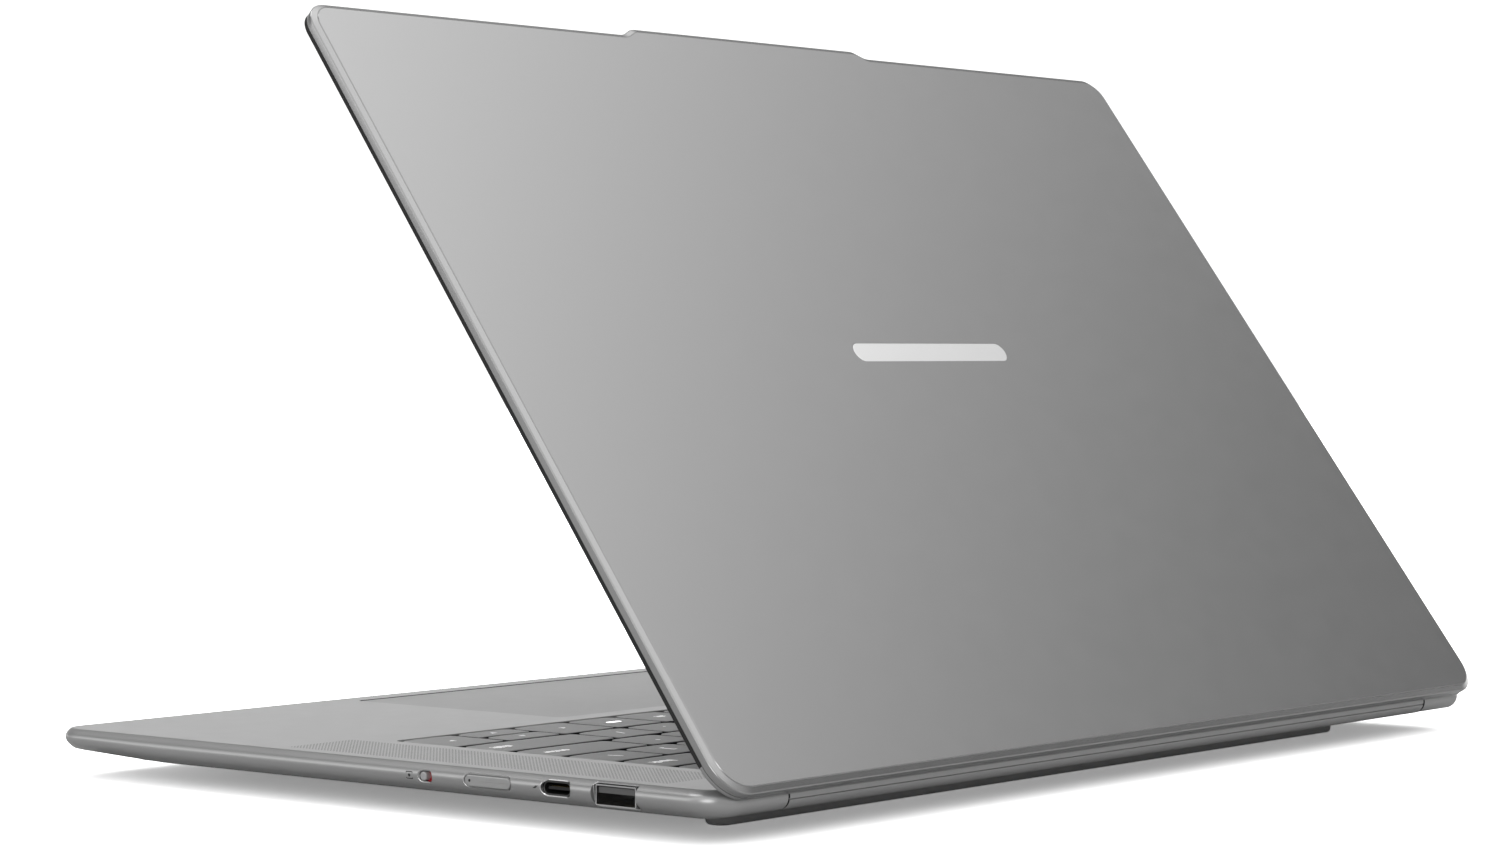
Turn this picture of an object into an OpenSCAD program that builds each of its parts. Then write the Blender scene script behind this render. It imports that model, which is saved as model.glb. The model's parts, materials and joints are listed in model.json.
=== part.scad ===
// Thin clamshell laptop computer with a 15.3 inch display, lid resting partly open.
// The part's origin is the centre of the rear foot's contact face, +X is the user's right,
// +Y points to the rear, +Z is up.

/* [Base] */
// Width of the base and the lid
body_w = 343.8; // [340:0.1:350]
// Depth of the base, front edge to rear edge
body_d = 235.4; // [232:0.1:240]
// Height of the deck above the table
deck_height = 13.1; // [12.8:0.1:14]
// Height of the base's side wall
side_h = 6.8; // [6.8:0.1:7.2]
// Depth of the belly below the deck
belly_h = 9.5; // [9.5:0.1:10]
// Corner radius of the base in plan
body_corner_r = 9; // [7:0.5:10]

/* [Lid] */
// Angle of the lid above the closed position
lid_open = 53.66; // [0:0.01:180]
// Height of the lid from its lower edge to its top edge
lid_h = 232.58; // [230:0.01:233]
// Thickness of the lid
lid_t = 4.1; // [4:0.05:4.3]
// Height of the grip tab above the lid's top edge
tab_h = 2.4; // [1.5:0.1:3]
// Width of the grip tab at its top
tab_w = 97.2; // [80:0.1:110]

/* [Hinge] */
// Distance of the hinge axis in front of the base's rear edge
hinge_inset = 4.9; // [4.7:0.1:5.2]
// Depth of the hinge axis below the deck
hinge_drop = 3.2; // [3.2:0.05:3.3]
// Radius of the hinge cover bar
hinge_bar_r = 3.4; // [3:0.1:3.4]
// Radius of the hinge shafts
shaft_r = 1.2; // [1:0.05:1.3]
// Width of the notch that holds the hinge cover bar
notch_w = 292.2; // [280:0.1:296]

/* [Keyboard] */
// Width of the keyboard well
well_w = 276.6; // [270:0.1:280]
// Front edge of the keyboard well, behind the rear edge of the base
well_front = 139.2; // [139:0.1:140]
// Pitch from one key row to the next
row_pitch = 18; // [17.5:0.1:18]
// Depth of the bottom key row
bottom_row_d = 20.2; // [18:0.1:20.2]
// Depth of the function key row
function_row_d = 12; // [10:0.1:12]
// Gap between neighbouring keys
key_gap = 2; // [1.5:0.1:2.5]

/* [Touchpad] */
// Width of the touchpad
pad_w = 135; // [120:0.5:140]
// Depth of the touchpad
pad_d = 80; // [70:0.5:80]

/* [Feet] */
// Length of the rear foot
rear_foot_l = 278.4; // [260:0.1:280]
// Length of the front foot
front_foot_l = 210; // [180:1:240]
// Width of both feet
foot_w = 8; // [6:0.5:8]

/* [Hidden] */

gap = 0.05;
half_w = body_w / 2;
unit = well_w / 14.5;
rear_foot_y = 27.3 + foot_w / 2;
front_foot_y = 184;

// ---- frames ----

// Base frame: z = 0 on the deck, y = 0 at the base's rear edge, front towards -Y.
module in_base() {
  translate([0, rear_foot_y, deck_height]) children();
}

// Lid frame: x on the hinge axis, the closed lid lies towards -Y with its outer face up.
module in_lid() {
  in_base() translate([0, -hinge_inset, -hinge_drop]) rotate([-lid_open, 0, 0]) children();
}

lid_gap = 0.33;                         // closed lid above the deck
lid_back = 2.1;                         // lower edge of the lid behind the hinge axis
lid_out = hinge_drop + lid_gap + lid_t; // outer face of the lid above the hinge axis
lid_in = lid_out - lid_t;               // inner face of the lid

// ---- shared shapes ----

// Flat rounded rectangle from two corner points, made of true arcs.
module round_rect(x0, y0, x1, y1, r, fn = 24) {
  union() {
    translate([x0 + r, y0]) square([x1 - x0 - 2 * r, y1 - y0]);
    translate([x0, y0 + r]) square([x1 - x0, y1 - y0 - 2 * r]);
    for (x = [x0 + r, x1 - r], y = [y0 + r, y1 - r]) translate([x, y]) circle(r, $fn = fn);
  }
}

module round_plate(x0, y0, x1, y1, r, z0, z1) {
  translate([0, 0, z0]) linear_extrude(z1 - z0) round_rect(x0, y0, x1, y1, r);
}

module box(x0, y0, z0, x1, y1, z1) {
  translate([x0, y0, z0]) cube([x1 - x0, y1 - y0, z1 - z0]);
}

// Stadium, long along Y, extruded along X from x0 to x1.
module side_slot(x0, x1, y, z, length, height) {
  r = height / 2;
  straight = length / 2 - r;
  translate([x0, y, z]) rotate([90, 0, 90]) linear_extrude(x1 - x0) union() {
    square([2 * straight, height], center = true);
    for (s = [-1, 1]) translate([s * straight, 0]) circle(r, $fn = 24);
  }
}

module x_cylinder(x0, x1, r, y = 0, z = 0) {
  translate([x0, y, z]) rotate([0, 90, 0]) cylinder(r = r, h = x1 - x0, $fn = 48);
}

module mirrored() {
  for (s = [0, 1]) mirror([s, 0, 0]) children();
}

// ---- base shells ----

widest_z = -2.5;
profile_steps = 5;
front_rise_z = -5.3;
front_rise_l = 42;
// Heights where the side's curved profile has its points, from the deck down.
profile_z = concat([for (i = [0:profile_steps]) widest_z * i / profile_steps],
  [for (i = [1:profile_steps]) widest_z - (side_h + widest_z) * i / profile_steps]);

function side_inset(z) = z > widest_z
  ? 2.6 * pow(1 - z / widest_z, 2.2)
  : 3.9 * pow((widest_z - z) / (side_h + widest_z), 2.2);
nose_foot_inset = 8.4;
function nose_inset(z) = z <= -side_h + 0.01 ? nose_foot_inset
  : hinge_inset - sqrt(max(0, pow(hinge_bar_r, 2) - pow(z + hinge_drop, 2)));
// Share of the side's curve that the blunter front edge has.
front_blunt = 0.25;
function front_inset(z) = front_blunt * side_inset(z)
  + front_rise_l * max(0, front_rise_z - z) / (side_h + front_rise_z);

function flipped(list) = [for (i = [len(list) - 1:-1:0]) list[i]];

// Prism along Y with its profile in X and Z.
module y_prism(points, y0, y1) {
  translate([0, y1, 0]) rotate([90, 0, 0]) linear_extrude(y1 - y0) polygon(points);
}

// Prism along X with its profile in Y and Z.
module x_prism(points, x0, x1) {
  translate([x0, 0, 0]) rotate([90, 0, 90]) linear_extrude(x1 - x0) polygon(points);
}

// Solid outside of the base: side profile, front-to-rear profile and plan, all crossed.
module body_outline() {
  over = 0.2;
  intersection() {
    y_prism(concat([for (z = profile_z) [half_w - side_inset(z), z]],
      flipped([for (z = profile_z) [-half_w + side_inset(z), z]])), -body_d - 1, 1);
    x_prism(concat([for (z = profile_z) [-nose_inset(z), z]],
      flipped([for (z = profile_z) [-body_d + front_inset(z), z]])), -half_w - 1, half_w + 1);
    round_plate(-half_w - over, -body_d - over, half_w + over, -1.5 + over, body_corner_r,
      -side_h - 1, 1);
  }
}

cover_x = half_w - 5.3;
cover_top = -6.1;
cover_rim_z = -6.9;
belly_x = half_w - 27;
cover_front = -209;
belly_front = -199;
cover_rear = -10;
belly_rear = -40;
skin = 1.2;

// Outside of the bottom cover, grown by a clearance and raised by a skin thickness.
module cover_form(grow, raise) {
  more = max(0, grow);
  top = cover_top + more;
  side_rise = (belly_h + cover_rim_z) / (cover_x - belly_x);
  rear_rise = (belly_h + cover_rim_z) / (cover_rear - belly_rear);
  front_rise = (belly_h + cover_top) / (belly_front - cover_front);
  low = -belly_h - more;
  far = 2;
  side_z = cover_rim_z - more + side_rise * far;
  translate([0, 0, raise]) intersection() {
    y_prism([[-cover_x - far, top], [-cover_x - far, side_z], [-belly_x, low], [belly_x, low],
      [cover_x + far, side_z], [cover_x + far, top]], cover_front - far, cover_rear + far);
    x_prism([[cover_front - far, top + front_rise], [cover_front - far, cover_top - 0.1 - more
      + front_rise * far], [belly_front, low], [belly_rear, low],
      [cover_rear + far, cover_rim_z - more + rear_rise * far], [cover_rear + far, top + 1]],
      -cover_x - far, cover_x + far);
    round_plate(-cover_x - grow, cover_front - grow, cover_x + grow, cover_rear + grow, 6,
      low - 1, top + 2);
  }
}

// Height of the bottom cover's outer surface over a point, away from its front slope.
function cover_z(x, y) = max(-belly_h,
  cover_rim_z - (belly_h + cover_rim_z) * (cover_x - abs(x)) / (cover_x - belly_x),
  cover_rim_z - (belly_h + cover_rim_z) * (cover_rear - y) / (cover_rear - belly_rear));

module keyboard_opening() {
  round_plate(-well_w / 2, -well_front, well_w / 2, -31.4, 2, -2, 1);
}

pad_front = -227.5;
module pad_opening() {
  reach = 0.4;
  round_plate(-pad_w / 2 - reach, pad_front - reach, pad_w / 2 + reach, pad_front + pad_d + reach,
    3, -2, 1);
}

port_z = -3.1;
usb_a_y = -32.75;
usb_c_y = -51;
usb_c_z = -2.7;
power_y = -73.25;
shutter_y = -94.2;
shutter_z = -2.9;
button_z = -2.75;
hdmi_y = -34;
left_c_y = [-54, -68];
jack_y = -83;
out_x = half_w + 1;
wall_x = 163.9;

usb_a_x = 157;
hdmi_x = 159;
usb_c_x = 163;

module side_openings() {
  box(usb_a_x - 0.1, usb_a_y - 6.65, -5.85, out_x, usb_a_y + 6.65, -0.5);
  side_slot(usb_c_x - 0.1, out_x, usb_c_y, usb_c_z, 9.24, 3.5);
  side_slot(wall_x, out_x, power_y, button_z, 15.3, 2.95);
  side_slot(plate_x1, out_x, shutter_y, shutter_z, 4.5, 2.6);
  box(wall_x - 0.1, shutter_y - 5.2, shutter_z - 1.5, plate_x1 + 0.1, shutter_y + 5.1,
    shutter_z + 1.5);
  box(-out_x, hdmi_y - 7.6, -5.6, -hdmi_x + 0.1, hdmi_y + 7.6, -0.6);
  for (y = left_c_y) side_slot(-out_x, -usb_c_x + 0.1, y, usb_c_z, 9.24, 3.5);
  x_cylinder(-out_x, -usb_c_x + 0.1, 2.6, jack_y, port_z);
}

module hinge_notch() {
  front = -hinge_inset - hinge_bar_r - 0.5;
  box(-notch_w / 2, front, -12, notch_w / 2, 5, 5);
}

exhaust_ribs = 5;
exhaust_x0 = 59;
exhaust_w = 66;
rib_w = 1.2;
module exhaust_openings() {
  cell = exhaust_w / exhaust_ribs;
  mirrored() for (i = [0:exhaust_ribs - 1])
    box(exhaust_x0 + i * cell, -12, -5.2, exhaust_x0 + (i + 1) * cell - rib_w, -8, -1.7);
}

horn_x0 = notch_w / 2 + 1.2;
module horn_cavities() {
  mirrored() in_axis_y() {
    x_cylinder(horn_x0, wall_x, 2.4);
    box(horn_x0, -7, -2.4, wall_x, 0, 2.2);
    x_cylinder(notch_w / 2 - 1, horn_x0 + 0.5, shaft_r + 0.3);
  }
}

module in_axis_y() {
  translate([0, -hinge_inset, -hinge_drop]) children();
}

// Places of the bottom cover's screws, and the radii of their bosses.
screw_spots = concat([[0, -16]], [for (s = [-1, 1]) [s * 162, -14]],
  [for (s = [-1, 1]) [s * 158, -100]], [for (x = [-138, -75, 75, 138]) [x, -193]]);
boss_r = 1.8;
screw_r = 0.9;

module screw_bosses() {
  for (p = screw_spots) {
    foot_z = cover_z(p[0], p[1]) + skin + 0.45;
    translate([p[0], p[1], foot_z]) cylinder(r = boss_r, h = -0.5 - foot_z, $fn = 32);
  }
}

module top_case() {
  color([0.60, 0.60, 0.61]) in_base() difference() {
    union() {
      difference() {
        body_outline();
        round_plate(-wall_x, cover_front + 1, wall_x, -10.4, 4, -12, -skin);
        round_plate(-wall_x, -226.5, wall_x, cover_front + 9, 4, -4.4, -skin);
        cover_form(0.1, 0);
      }
      screw_bosses();
    }
    for (p = screw_spots) translate([p[0], p[1], -12]) cylinder(r = screw_r + gap, h = 9, $fn = 32);
    keyboard_opening();
    pad_opening();
    side_openings();
    hinge_notch();
    horn_cavities();
    exhaust_openings();
  }
}

intake_slots = 13;
intake_pitch = 4;
intake_w = 1.6;
module intake_openings() {
  x0 = fan_x - 27;
  mirrored() for (i = [0:intake_slots - 1])
    box(x0 + i * intake_pitch, -95, -12, x0 + i * intake_pitch + intake_w, -55, -5);
}

module bottom_cover() {
  color([0.45, 0.45, 0.47]) in_base() difference() {
    cover_form(0, 0);
    cover_form(-1.5, skin);
    intake_openings();
    for (p = screw_spots) {
      translate([p[0], p[1], -12]) cylinder(r = screw_r + 0.1, h = 9, $fn = 32);
      translate([p[0], p[1], cover_z(p[0], p[1]) - 2]) cylinder(r = head_r + 0.1, h = 2.65, $fn = 32);
    }
  }
}

head_r = 1.4;
screw_l = 3;
module cover_screws() {
  color([0.2, 0.2, 0.21]) in_base() for (p = screw_spots)
    translate([p[0], p[1], cover_z(p[0], p[1]) + 0.1]) {
      cylinder(r = head_r, h = 0.5, $fn = 32);
      cylinder(r = screw_r, h = screw_l, $fn = 32);
    }
}

module foot(length, y) {
  r = foot_w / 2;
  difference() {
    translate([0, y, -deck_height]) linear_extrude(deck_height - 7) union() {
      square([length - foot_w, foot_w], center = true);
      for (s = [-1, 1]) translate([s * (length / 2 - r), 0]) circle(r, $fn = 48);
    }
    cover_form(gap, 0);
  }
}

module rear_foot() {
  color([0.16, 0.16, 0.17]) in_base() foot(rear_foot_l, -rear_foot_y);
}

module front_foot() {
  color([0.16, 0.16, 0.17]) in_base() foot(front_foot_l, -front_foot_y);
}

// ---- keyboard ----

module keyboard_plate() {
  color([0.12, 0.12, 0.13]) in_base() difference() {
    round_plate(-140.5, -141.4, 140.5, -29.2, 2, -3.6, -3);
    for (x = [-120:24:120], y = [-129, -108, -90, -72, -54, -38])
      translate([x, y, -4]) cylinder(r = 0.8, h = 2, $fn = 16);
  }
}

letters_10 = [for (i = [1:10]) 1];
bottom_row = [1.25, 1, 1, 1, 5, 1, 1, 1.1, 1.1, 1.05];
lower_row = concat([2.28], letters_10, [2.22]);
home_row = concat([1.65], letters_10, [1, 1.85]);
upper_row = concat([1.4], letters_10, [1, 1, 1.1]);
number_row = concat(letters_10, [1, 1, 1, 1.5]);
function_row = [for (i = [1:15]) 14.5 / 15];
rows = [bottom_row, lower_row, home_row, upper_row, number_row, function_row];

row_front = -well_front + 0.8;
row_0_rear = row_front + bottom_row_d;
function run(widths, n) = n == 0 ? 0 : widths[n - 1] + run(widths, n - 1);
function front_of(row) = row == 0 ? row_front : row_0_rear + key_gap + (row - 1) * row_pitch;
function rear_of(row) = row == 0 ? row_0_rear
  : front_of(row) + (row == 5 ? function_row_d : row_pitch - key_gap);

key_top = -0.1;
key_t = 1.2;

module keycap(x0, y0, x1, y1) {
  round_plate(x0, y0, x1, y1, 1.6, key_top - key_t, key_top);
}

// Keys first to last of one row, counted from the left.
module keys(row, first, last) {
  widths = rows[row];
  color([0.40, 0.40, 0.42]) in_base() for (i = [first:last]) {
    left = -well_w / 2 + run(widths, i) * unit;
    keycap(left + key_gap / 2, front_of(row), left + widths[i] * unit - key_gap / 2, rear_of(row));
  }
}

module function_keys() { keys(5, 0, 14); }
module number_keys() { keys(4, 0, 12); }
module backspace_key() { keys(4, 13, 13); }
module tab_key() { keys(3, 0, 0); }
module upper_letter_keys() { keys(3, 1, 12); }
module backslash_key() { keys(3, 13, 13); }
module caps_key() { keys(2, 0, 0); }
module home_letter_keys() { keys(2, 1, 11); }
module enter_key() { keys(2, 12, 12); }
module left_shift_key() { keys(1, 0, 0); }
module lower_letter_keys() { keys(1, 1, 10); }
module right_shift_key() { keys(1, 11, 11); }
module modifier_keys() { keys(0, 0, 3); keys(0, 5, 6); }
module space_bar() { keys(0, 4, 4); }
module left_arrow_key() { keys(0, 7, 7); }
module right_arrow_key() { keys(0, 9, 9); }

// One of the two half-depth arrow keys that share a place in the bottom row.
module half_key(y0, y1) {
  left = -well_w / 2 + run(bottom_row, 8) * unit;
  color([0.40, 0.40, 0.42]) in_base()
    keycap(left + key_gap / 2, y0, left + bottom_row[8] * unit - key_gap / 2, y1);
}
half_split = (row_front + row_0_rear) / 2;
module down_arrow_key() { half_key(row_front, half_split - 0.7); }
module up_arrow_key() { half_key(half_split + 0.7, row_0_rear); }

// ---- touchpad ----

module touchpad_glass() {
  color([0.56, 0.56, 0.58]) in_base()
    round_plate(-pad_w / 2, pad_front, pad_w / 2, pad_front + pad_d, 2.6, -0.9, -0.1);
}

module touchpad_module() {
  color([0.1, 0.25, 0.14]) in_base() union() {
    round_plate(-pad_w / 2 + 3, pad_front + 3.5, pad_w / 2 - 3, pad_front + pad_d - 2, 2, -1.9,
      -0.9 - gap);
    translate([0, -216, -2.3]) cylinder(r = 3, h = 0.5, $fn = 32);
    box(-15, -175, -2.4, 15, -160, -1.8);
  }
}

// ---- side controls ----

module power_button() {
  color([0.55, 0.55, 0.57]) in_base() union() {
    side_slot(163.4, half_w - 0.05, power_y, button_z, 15.1, 2.75);
    side_slot(162.6, 163.6, power_y, button_z, 19, 2.75);
  }
}

plate_x0 = 169;
plate_x1 = 169.9;
switch_x = 156;
module shutter_slider() {
  color([0.7, 0.1, 0.1]) in_base() union() {
    x_cylinder(plate_x0 + 0.4, half_w - 0.5, 1.15, shutter_y - 0.98, shutter_z);
    box(plate_x0, shutter_y - 5, shutter_z - 1.4, plate_x1, shutter_y + 3, shutter_z + 1.4);
    box(switch_x + 0.1, shutter_y - 2, shutter_z - 0.8, plate_x0 + 0.1, shutter_y, shutter_z + 0.8);
  }
}

// ---- inside the base ----

module main_board() {
  color([0.08, 0.28, 0.16]) in_base() union() {
    box(-56, -137, -4.9, 56, -33, -4.1);
    box(-15, -84, -5.9, 15, -60, -4.8);
    for (x = [-48, 34]) box(x, -100, -5.7, x + 12, -86, -4.8);
    for (x = [-40, -24, 16, 32]) box(x, -54, -6.2, x + 8, -46, -4.8);
    box(-30, -136, -6.4, -4, -131, -4.8);
  }
}

module memory_drive() {
  color([0.10, 0.10, 0.12]) in_base() union() {
    box(4, -128, -6.4, 26, -104, -5.7);
    box(6, -126, -7.6, 24, -106, -6.5 + 0.2);
  }
}

module wireless_card() {
  color([0.62, 0.62, 0.60]) in_base() union() {
    box(-54, -128, -6.4, -32, -102, -5.7);
    box(-51, -124, -7.5, -35, -108, -6.5 + 0.2);
  }
}

cell_count = 4;
module battery_pack() {
  color([0.15, 0.15, 0.17]) in_base() union() {
    box(-130, -189, -3.5, 130, -142.2, -3);
    for (i = [0:cell_count - 1]) box(-129 + i * 65, -188, -7.8, -66 + i * 65, -143.2, -3.3);
    box(-30, -143.5, -5.5, 30, -138.5, -3.7);
  }
}

fan_x = 92;
fan_y = -75;
fan_bottom = -8.1;
fan_top = -3.7;

// Open-sided blower housing: two plates with round intakes and a wall on three sides.
module fan_housing() {
  translate([fan_x, fan_y, 0]) difference() {
    round_plate(-33, -33, 33, 33, 4, fan_bottom, fan_top);
    translate([0, 0, fan_bottom + 0.4]) cylinder(r = 30.5, h = fan_top - fan_bottom - 0.8, $fn = 96);
    box(-26, 0, fan_bottom + 0.4, 26, 40, fan_top - 0.4);
    translate([0, 0, fan_bottom - 1]) difference() {
      cylinder(r = 17, h = 3, $fn = 64);
      cylinder(r = 8, h = 3, $fn = 48);
      box(-1.5, -20, -1, 1.5, 20, 5);
      box(-20, -1.5, -1, 20, 1.5, 5);
    }
    translate([0, 0, fan_top - 1]) cylinder(r = 17, h = 3, $fn = 64);
  }
}

blades = 41;
spindle_r = 0.8;
module fan_rotor() {
  translate([fan_x, fan_y, fan_bottom + 0.6]) difference() {
    union() {
      cylinder(r = 9, h = 3.2, $fn = 64);
      for (i = [0:blades - 1]) rotate(i * 360 / blades) box(8, -0.3, 0.2, 27, 0.3, 3);
      difference() {
        translate([0, 0, 1.2]) cylinder(r = 27.5, h = 0.6, $fn = 96);
        translate([0, 0, 1]) cylinder(r = 26, h = 1, $fn = 96);
      }
    }
    translate([0, 0, -1]) cylinder(r = spindle_r + 0.05, h = 2.5, $fn = 32);
  }
}

module fan_spindle() {
  translate([fan_x, fan_y, fan_bottom + 0.2]) cylinder(r = spindle_r, h = 1.6, $fn = 32);
}

module housing_with_spindle() {
  union() {
    fan_housing();
    fan_spindle();
  }
}

module fan_housing_right() { color([0.2, 0.2, 0.22]) in_base() housing_with_spindle(); }
module fan_housing_left() {
  color([0.2, 0.2, 0.22]) in_base() mirror([1, 0, 0]) housing_with_spindle();
}
module fan_rotor_right() { color([0.1, 0.1, 0.1]) in_base() fan_rotor(); }
module fan_rotor_left() { color([0.1, 0.1, 0.1]) in_base() mirror([1, 0, 0]) fan_rotor(); }

pipe_w = 7;
module heat_pipes() {
  color([0.72, 0.42, 0.25]) in_base() {
    z0 = -6.7;
    mirrored() union() {
      box(1, -83, z0, 1 + pipe_w, -27.5, -5.95);
      translate([1 + pipe_w / 2, -27.5, z0]) cylinder(r = pipe_w / 2, h = 0.75, $fn = 32);
      box(1 + pipe_w / 2, -31, z0, 122, -24, -5.95);
    }
  }
}

fin_pitch = 2;
module fin_stacks() {
  color([0.75, 0.75, 0.77]) in_base() mirrored() union() {
    box(60, -28.8, -5.85, 124, -13, -5.5);
    for (x = [60:fin_pitch:123.7]) box(x, -28.8, -5.6, x + 0.3, -13, -1.8);
  }
}

module speaker_box() {
  difference() {
    round_plate(144, -150, 161.5, -106, 2, -6, -1.6);
    round_plate(145, -149, 160.5, -122, 1.5, -4.6, -1);
  }
  round_plate(146, -148, 159.5, -123, 1.3, -4.7, -2.2);
}

module speaker_right() { color([0.13, 0.13, 0.14]) in_base() union() speaker_box(); }
module speaker_left() { color([0.13, 0.13, 0.14]) in_base() mirror([1, 0, 0]) union() speaker_box(); }

module connector_boards() {
  color([0.08, 0.28, 0.16]) in_base() {
    union() {
      box(132, -98, -6.5, switch_x, -24, -5.9);
      for (y = [power_y, shutter_y]) box(149, y - 3, -6, switch_x, y + 3, -1.6);
      x_cylinder(155, 162.1, 0.8, power_y, button_z);
    }
    box(-156, -90, -6.5, -132, -24, -5.9);
  }
}

// ---- sockets ----

mouth_x = half_w - 0.9;

module usb_c_socket(y) {
  difference() {
    side_slot(usb_c_x, mouth_x, y, usb_c_z, 8.94, 3.26);
    side_slot(usb_c_x + 1, mouth_x + 1, y, usb_c_z, 8.34, 2.56);
  }
  box(163.5, y - 3.35, usb_c_z - 0.35, mouth_x - 0.6, y + 3.35, usb_c_z + 0.35);
}

module usb_c_port_right() { color([0.55, 0.55, 0.57]) in_base() union() usb_c_socket(usb_c_y); }
module usb_c_ports_left() {
  color([0.55, 0.55, 0.57]) in_base() mirror([1, 0, 0]) for (y = left_c_y) union() usb_c_socket(y);
}

module usb_a_port() {
  y0 = usb_a_y - 6.55;
  y1 = usb_a_y + 6.55;
  color([0.62, 0.62, 0.64]) in_base() union() {
    difference() {
      box(usb_a_x, y0, -5.8, mouth_x, y1, -0.6);
      box(usb_a_x + 1, y0 + 0.3, -5.5, mouth_x + 1, y1 - 0.3, -0.9);
    }
    box(157.5, y0 + 1, -2.7, mouth_x - 1, y1 - 1, -1.3);
  }
}

module hdmi_port() {
  y0 = hdmi_y - 7.5;
  y1 = hdmi_y + 7.5;
  color([0.62, 0.62, 0.64]) in_base() mirror([1, 0, 0]) union() {
    difference() {
      box(hdmi_x, y0, -5.5, mouth_x, y1, -0.7);
      box(hdmi_x + 1, y0 + 0.4, -5.1, mouth_x + 1, y1 - 0.4, -1.1);
    }
    box(159.5, y0 + 2, -3.5, mouth_x - 1, y1 - 2, -2.5);
  }
}

jack_bore_r = 1.8;
jack_l = 14;
module audio_jack() {
  color([0.08, 0.08, 0.08]) in_base() mirror([1, 0, 0]) difference() {
    union() {
      x_cylinder(mouth_x - 3, mouth_x, 2.5, jack_y, port_z);
      box(mouth_x - jack_l - 1, jack_y - 3, port_z - 2.4, 163.6, jack_y + 3, port_z + 1.8);
      x_cylinder(163, mouth_x - 2, 2.5, jack_y, port_z);
    }
    x_cylinder(mouth_x - jack_l, mouth_x + 1, jack_bore_r, jack_y, port_z);
  }
}

// ---- hinges ----

bracket_x1 = 160;
bracket_screw_spots = [[151, -19], [157, -19], [154, -23.5]];

module hinge_brackets() {
  color([0.35, 0.35, 0.37]) in_base() mirrored() difference() {
    union() {
      in_axis_y() x_cylinder(horn_x0 + 0.3, 158, 2.2);
      in_axis_y() box(horn_x0 + 0.3, -6, -1.9, 158, -1.5, -1.1);
      box(horn_x0 + 0.3, -26, -5.1, bracket_x1, -9, -4.3);
    }
    in_axis_y() x_cylinder(horn_x0 - 1, 159, shaft_r + 0.05);
    for (p = bracket_screw_spots) translate([p[0], p[1], -7]) cylinder(r = 1, h = 4, $fn = 24);
  }
}

module bracket_screws() {
  color([0.75, 0.75, 0.77]) in_base() mirrored() for (p = bracket_screw_spots)
    translate([p[0], p[1], -5.8]) {
      cylinder(r = 0.9, h = 4.4, $fn = 24);
      cylinder(r = 1.7, h = 0.6, $fn = 32);
    }
}

arm_x0 = 118;
arm_x1 = 143;
post_x0 = 131;
module hinge_arms() {
  color([0.35, 0.35, 0.37]) in_lid() mirrored() difference() {
    union() {
      x_cylinder(128.5, 158.4, shaft_r);
      x_cylinder(post_x0, arm_x1, 2.2);
      box(post_x0, -1.4, 0, arm_x1, 0.6, 5.4);
      box(arm_x0, -13, 4.9, arm_x1, 0.6, 6.4);
    }
    for (x = [122, 139]) translate([x, -8, 4]) cylinder(r = 0.9, h = 4, $fn = 24);
  }
}

bar_half = 145.6;
module hinge_cover() {
  color([0.52, 0.52, 0.54]) in_lid() difference() {
    union() {
      x_cylinder(-bar_half, bar_half, hinge_bar_r);
      box(-bar_half, -1.9, 2, bar_half, 0.75, lid_in + 0.3);
    }
    for (s = [0, 1]) mirror([s, 0, 0]) {
      x_cylinder(127, bar_half + 1, 2.5);
      box(post_x0 - 0.3, -1.6, 0, arm_x1 + 0.3, 0.8, 5);
    }
    x_cylinder(-128, 128, 2.2);
  }
}

// ---- lid ----

lower_corner_r = 9.5;
upper_corner_r = 7.5;

rim_w = 1.3;

// Outline of the lid in its own plane, lower edge at y = lid_back.
module lid_outline(inset) {
  x = half_w - inset;
  y1 = lid_back - inset;
  y0 = lid_back - lid_h + inset;
  r0 = upper_corner_r - inset;
  r1 = lower_corner_r - inset;
  union() {
    translate([-x, y0 + r0]) square([2 * x, y1 - r1 - y0 - r0]);
    translate([r0 - x, y0]) square([2 * (x - r0), r0 + 1]);
    translate([r1 - x, y1 - r1 - 1]) square([2 * (x - r1), r1 + 1]);
    for (s = [-1, 1]) {
      translate([s * (x - r0), y0 + r0]) circle(r0, $fn = 48);
      translate([s * (x - r1), y1 - r1]) circle(r1, $fn = 48);
    }
    tab_outline(inset, y0);
  }
}

// Grip tab: a trapezium whose sloping ends run out into the lid's edge.
module tab_outline(inset, y0) {
  top = tab_w / 2 - inset / 2;
  foot_x = top + 1.9 * tab_h;
  polygon([[-foot_x, y0 + 0.01], [-top, y0 - tab_h], [top, y0 - tab_h], [foot_x, y0 + 0.01],
    [foot_x, y0 + 5], [-foot_x, y0 + 5]]);
}

gasket_top = lid_in + 1.2;
gasket_end = lid_back - lower_corner_r - 0.2;
inlay_y = lid_back - 123.8;
inlay_w = 67.6;
inlay_h = 6;
inlay_t = 0.3;

module inlay_outline(grow) {
  r = inlay_h / 2 + grow;
  union() {
    square([inlay_w - inlay_h, 2 * r], center = true);
    for (s = [-1, 1]) translate([s * (inlay_w - inlay_h) / 2, 0]) circle(r, $fn = 48);
  }
}

// Ring under the lid's edge, from the screen side up to a height.
module rim_ring(z1) {
  difference() {
    translate([0, 0, lid_in]) linear_extrude(z1 - lid_in) lid_outline(0.2);
    translate([0, 0, lid_in - 1]) linear_extrude(z1 - lid_in + 2) lid_outline(rim_w);
  }
}

// Everything between a line across the lid and its lower edge.
module below_gasket(y) {
  box(-half_w - 1, y, lid_in - 1, half_w + 1, lid_back + 1, lid_out);
}

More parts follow.
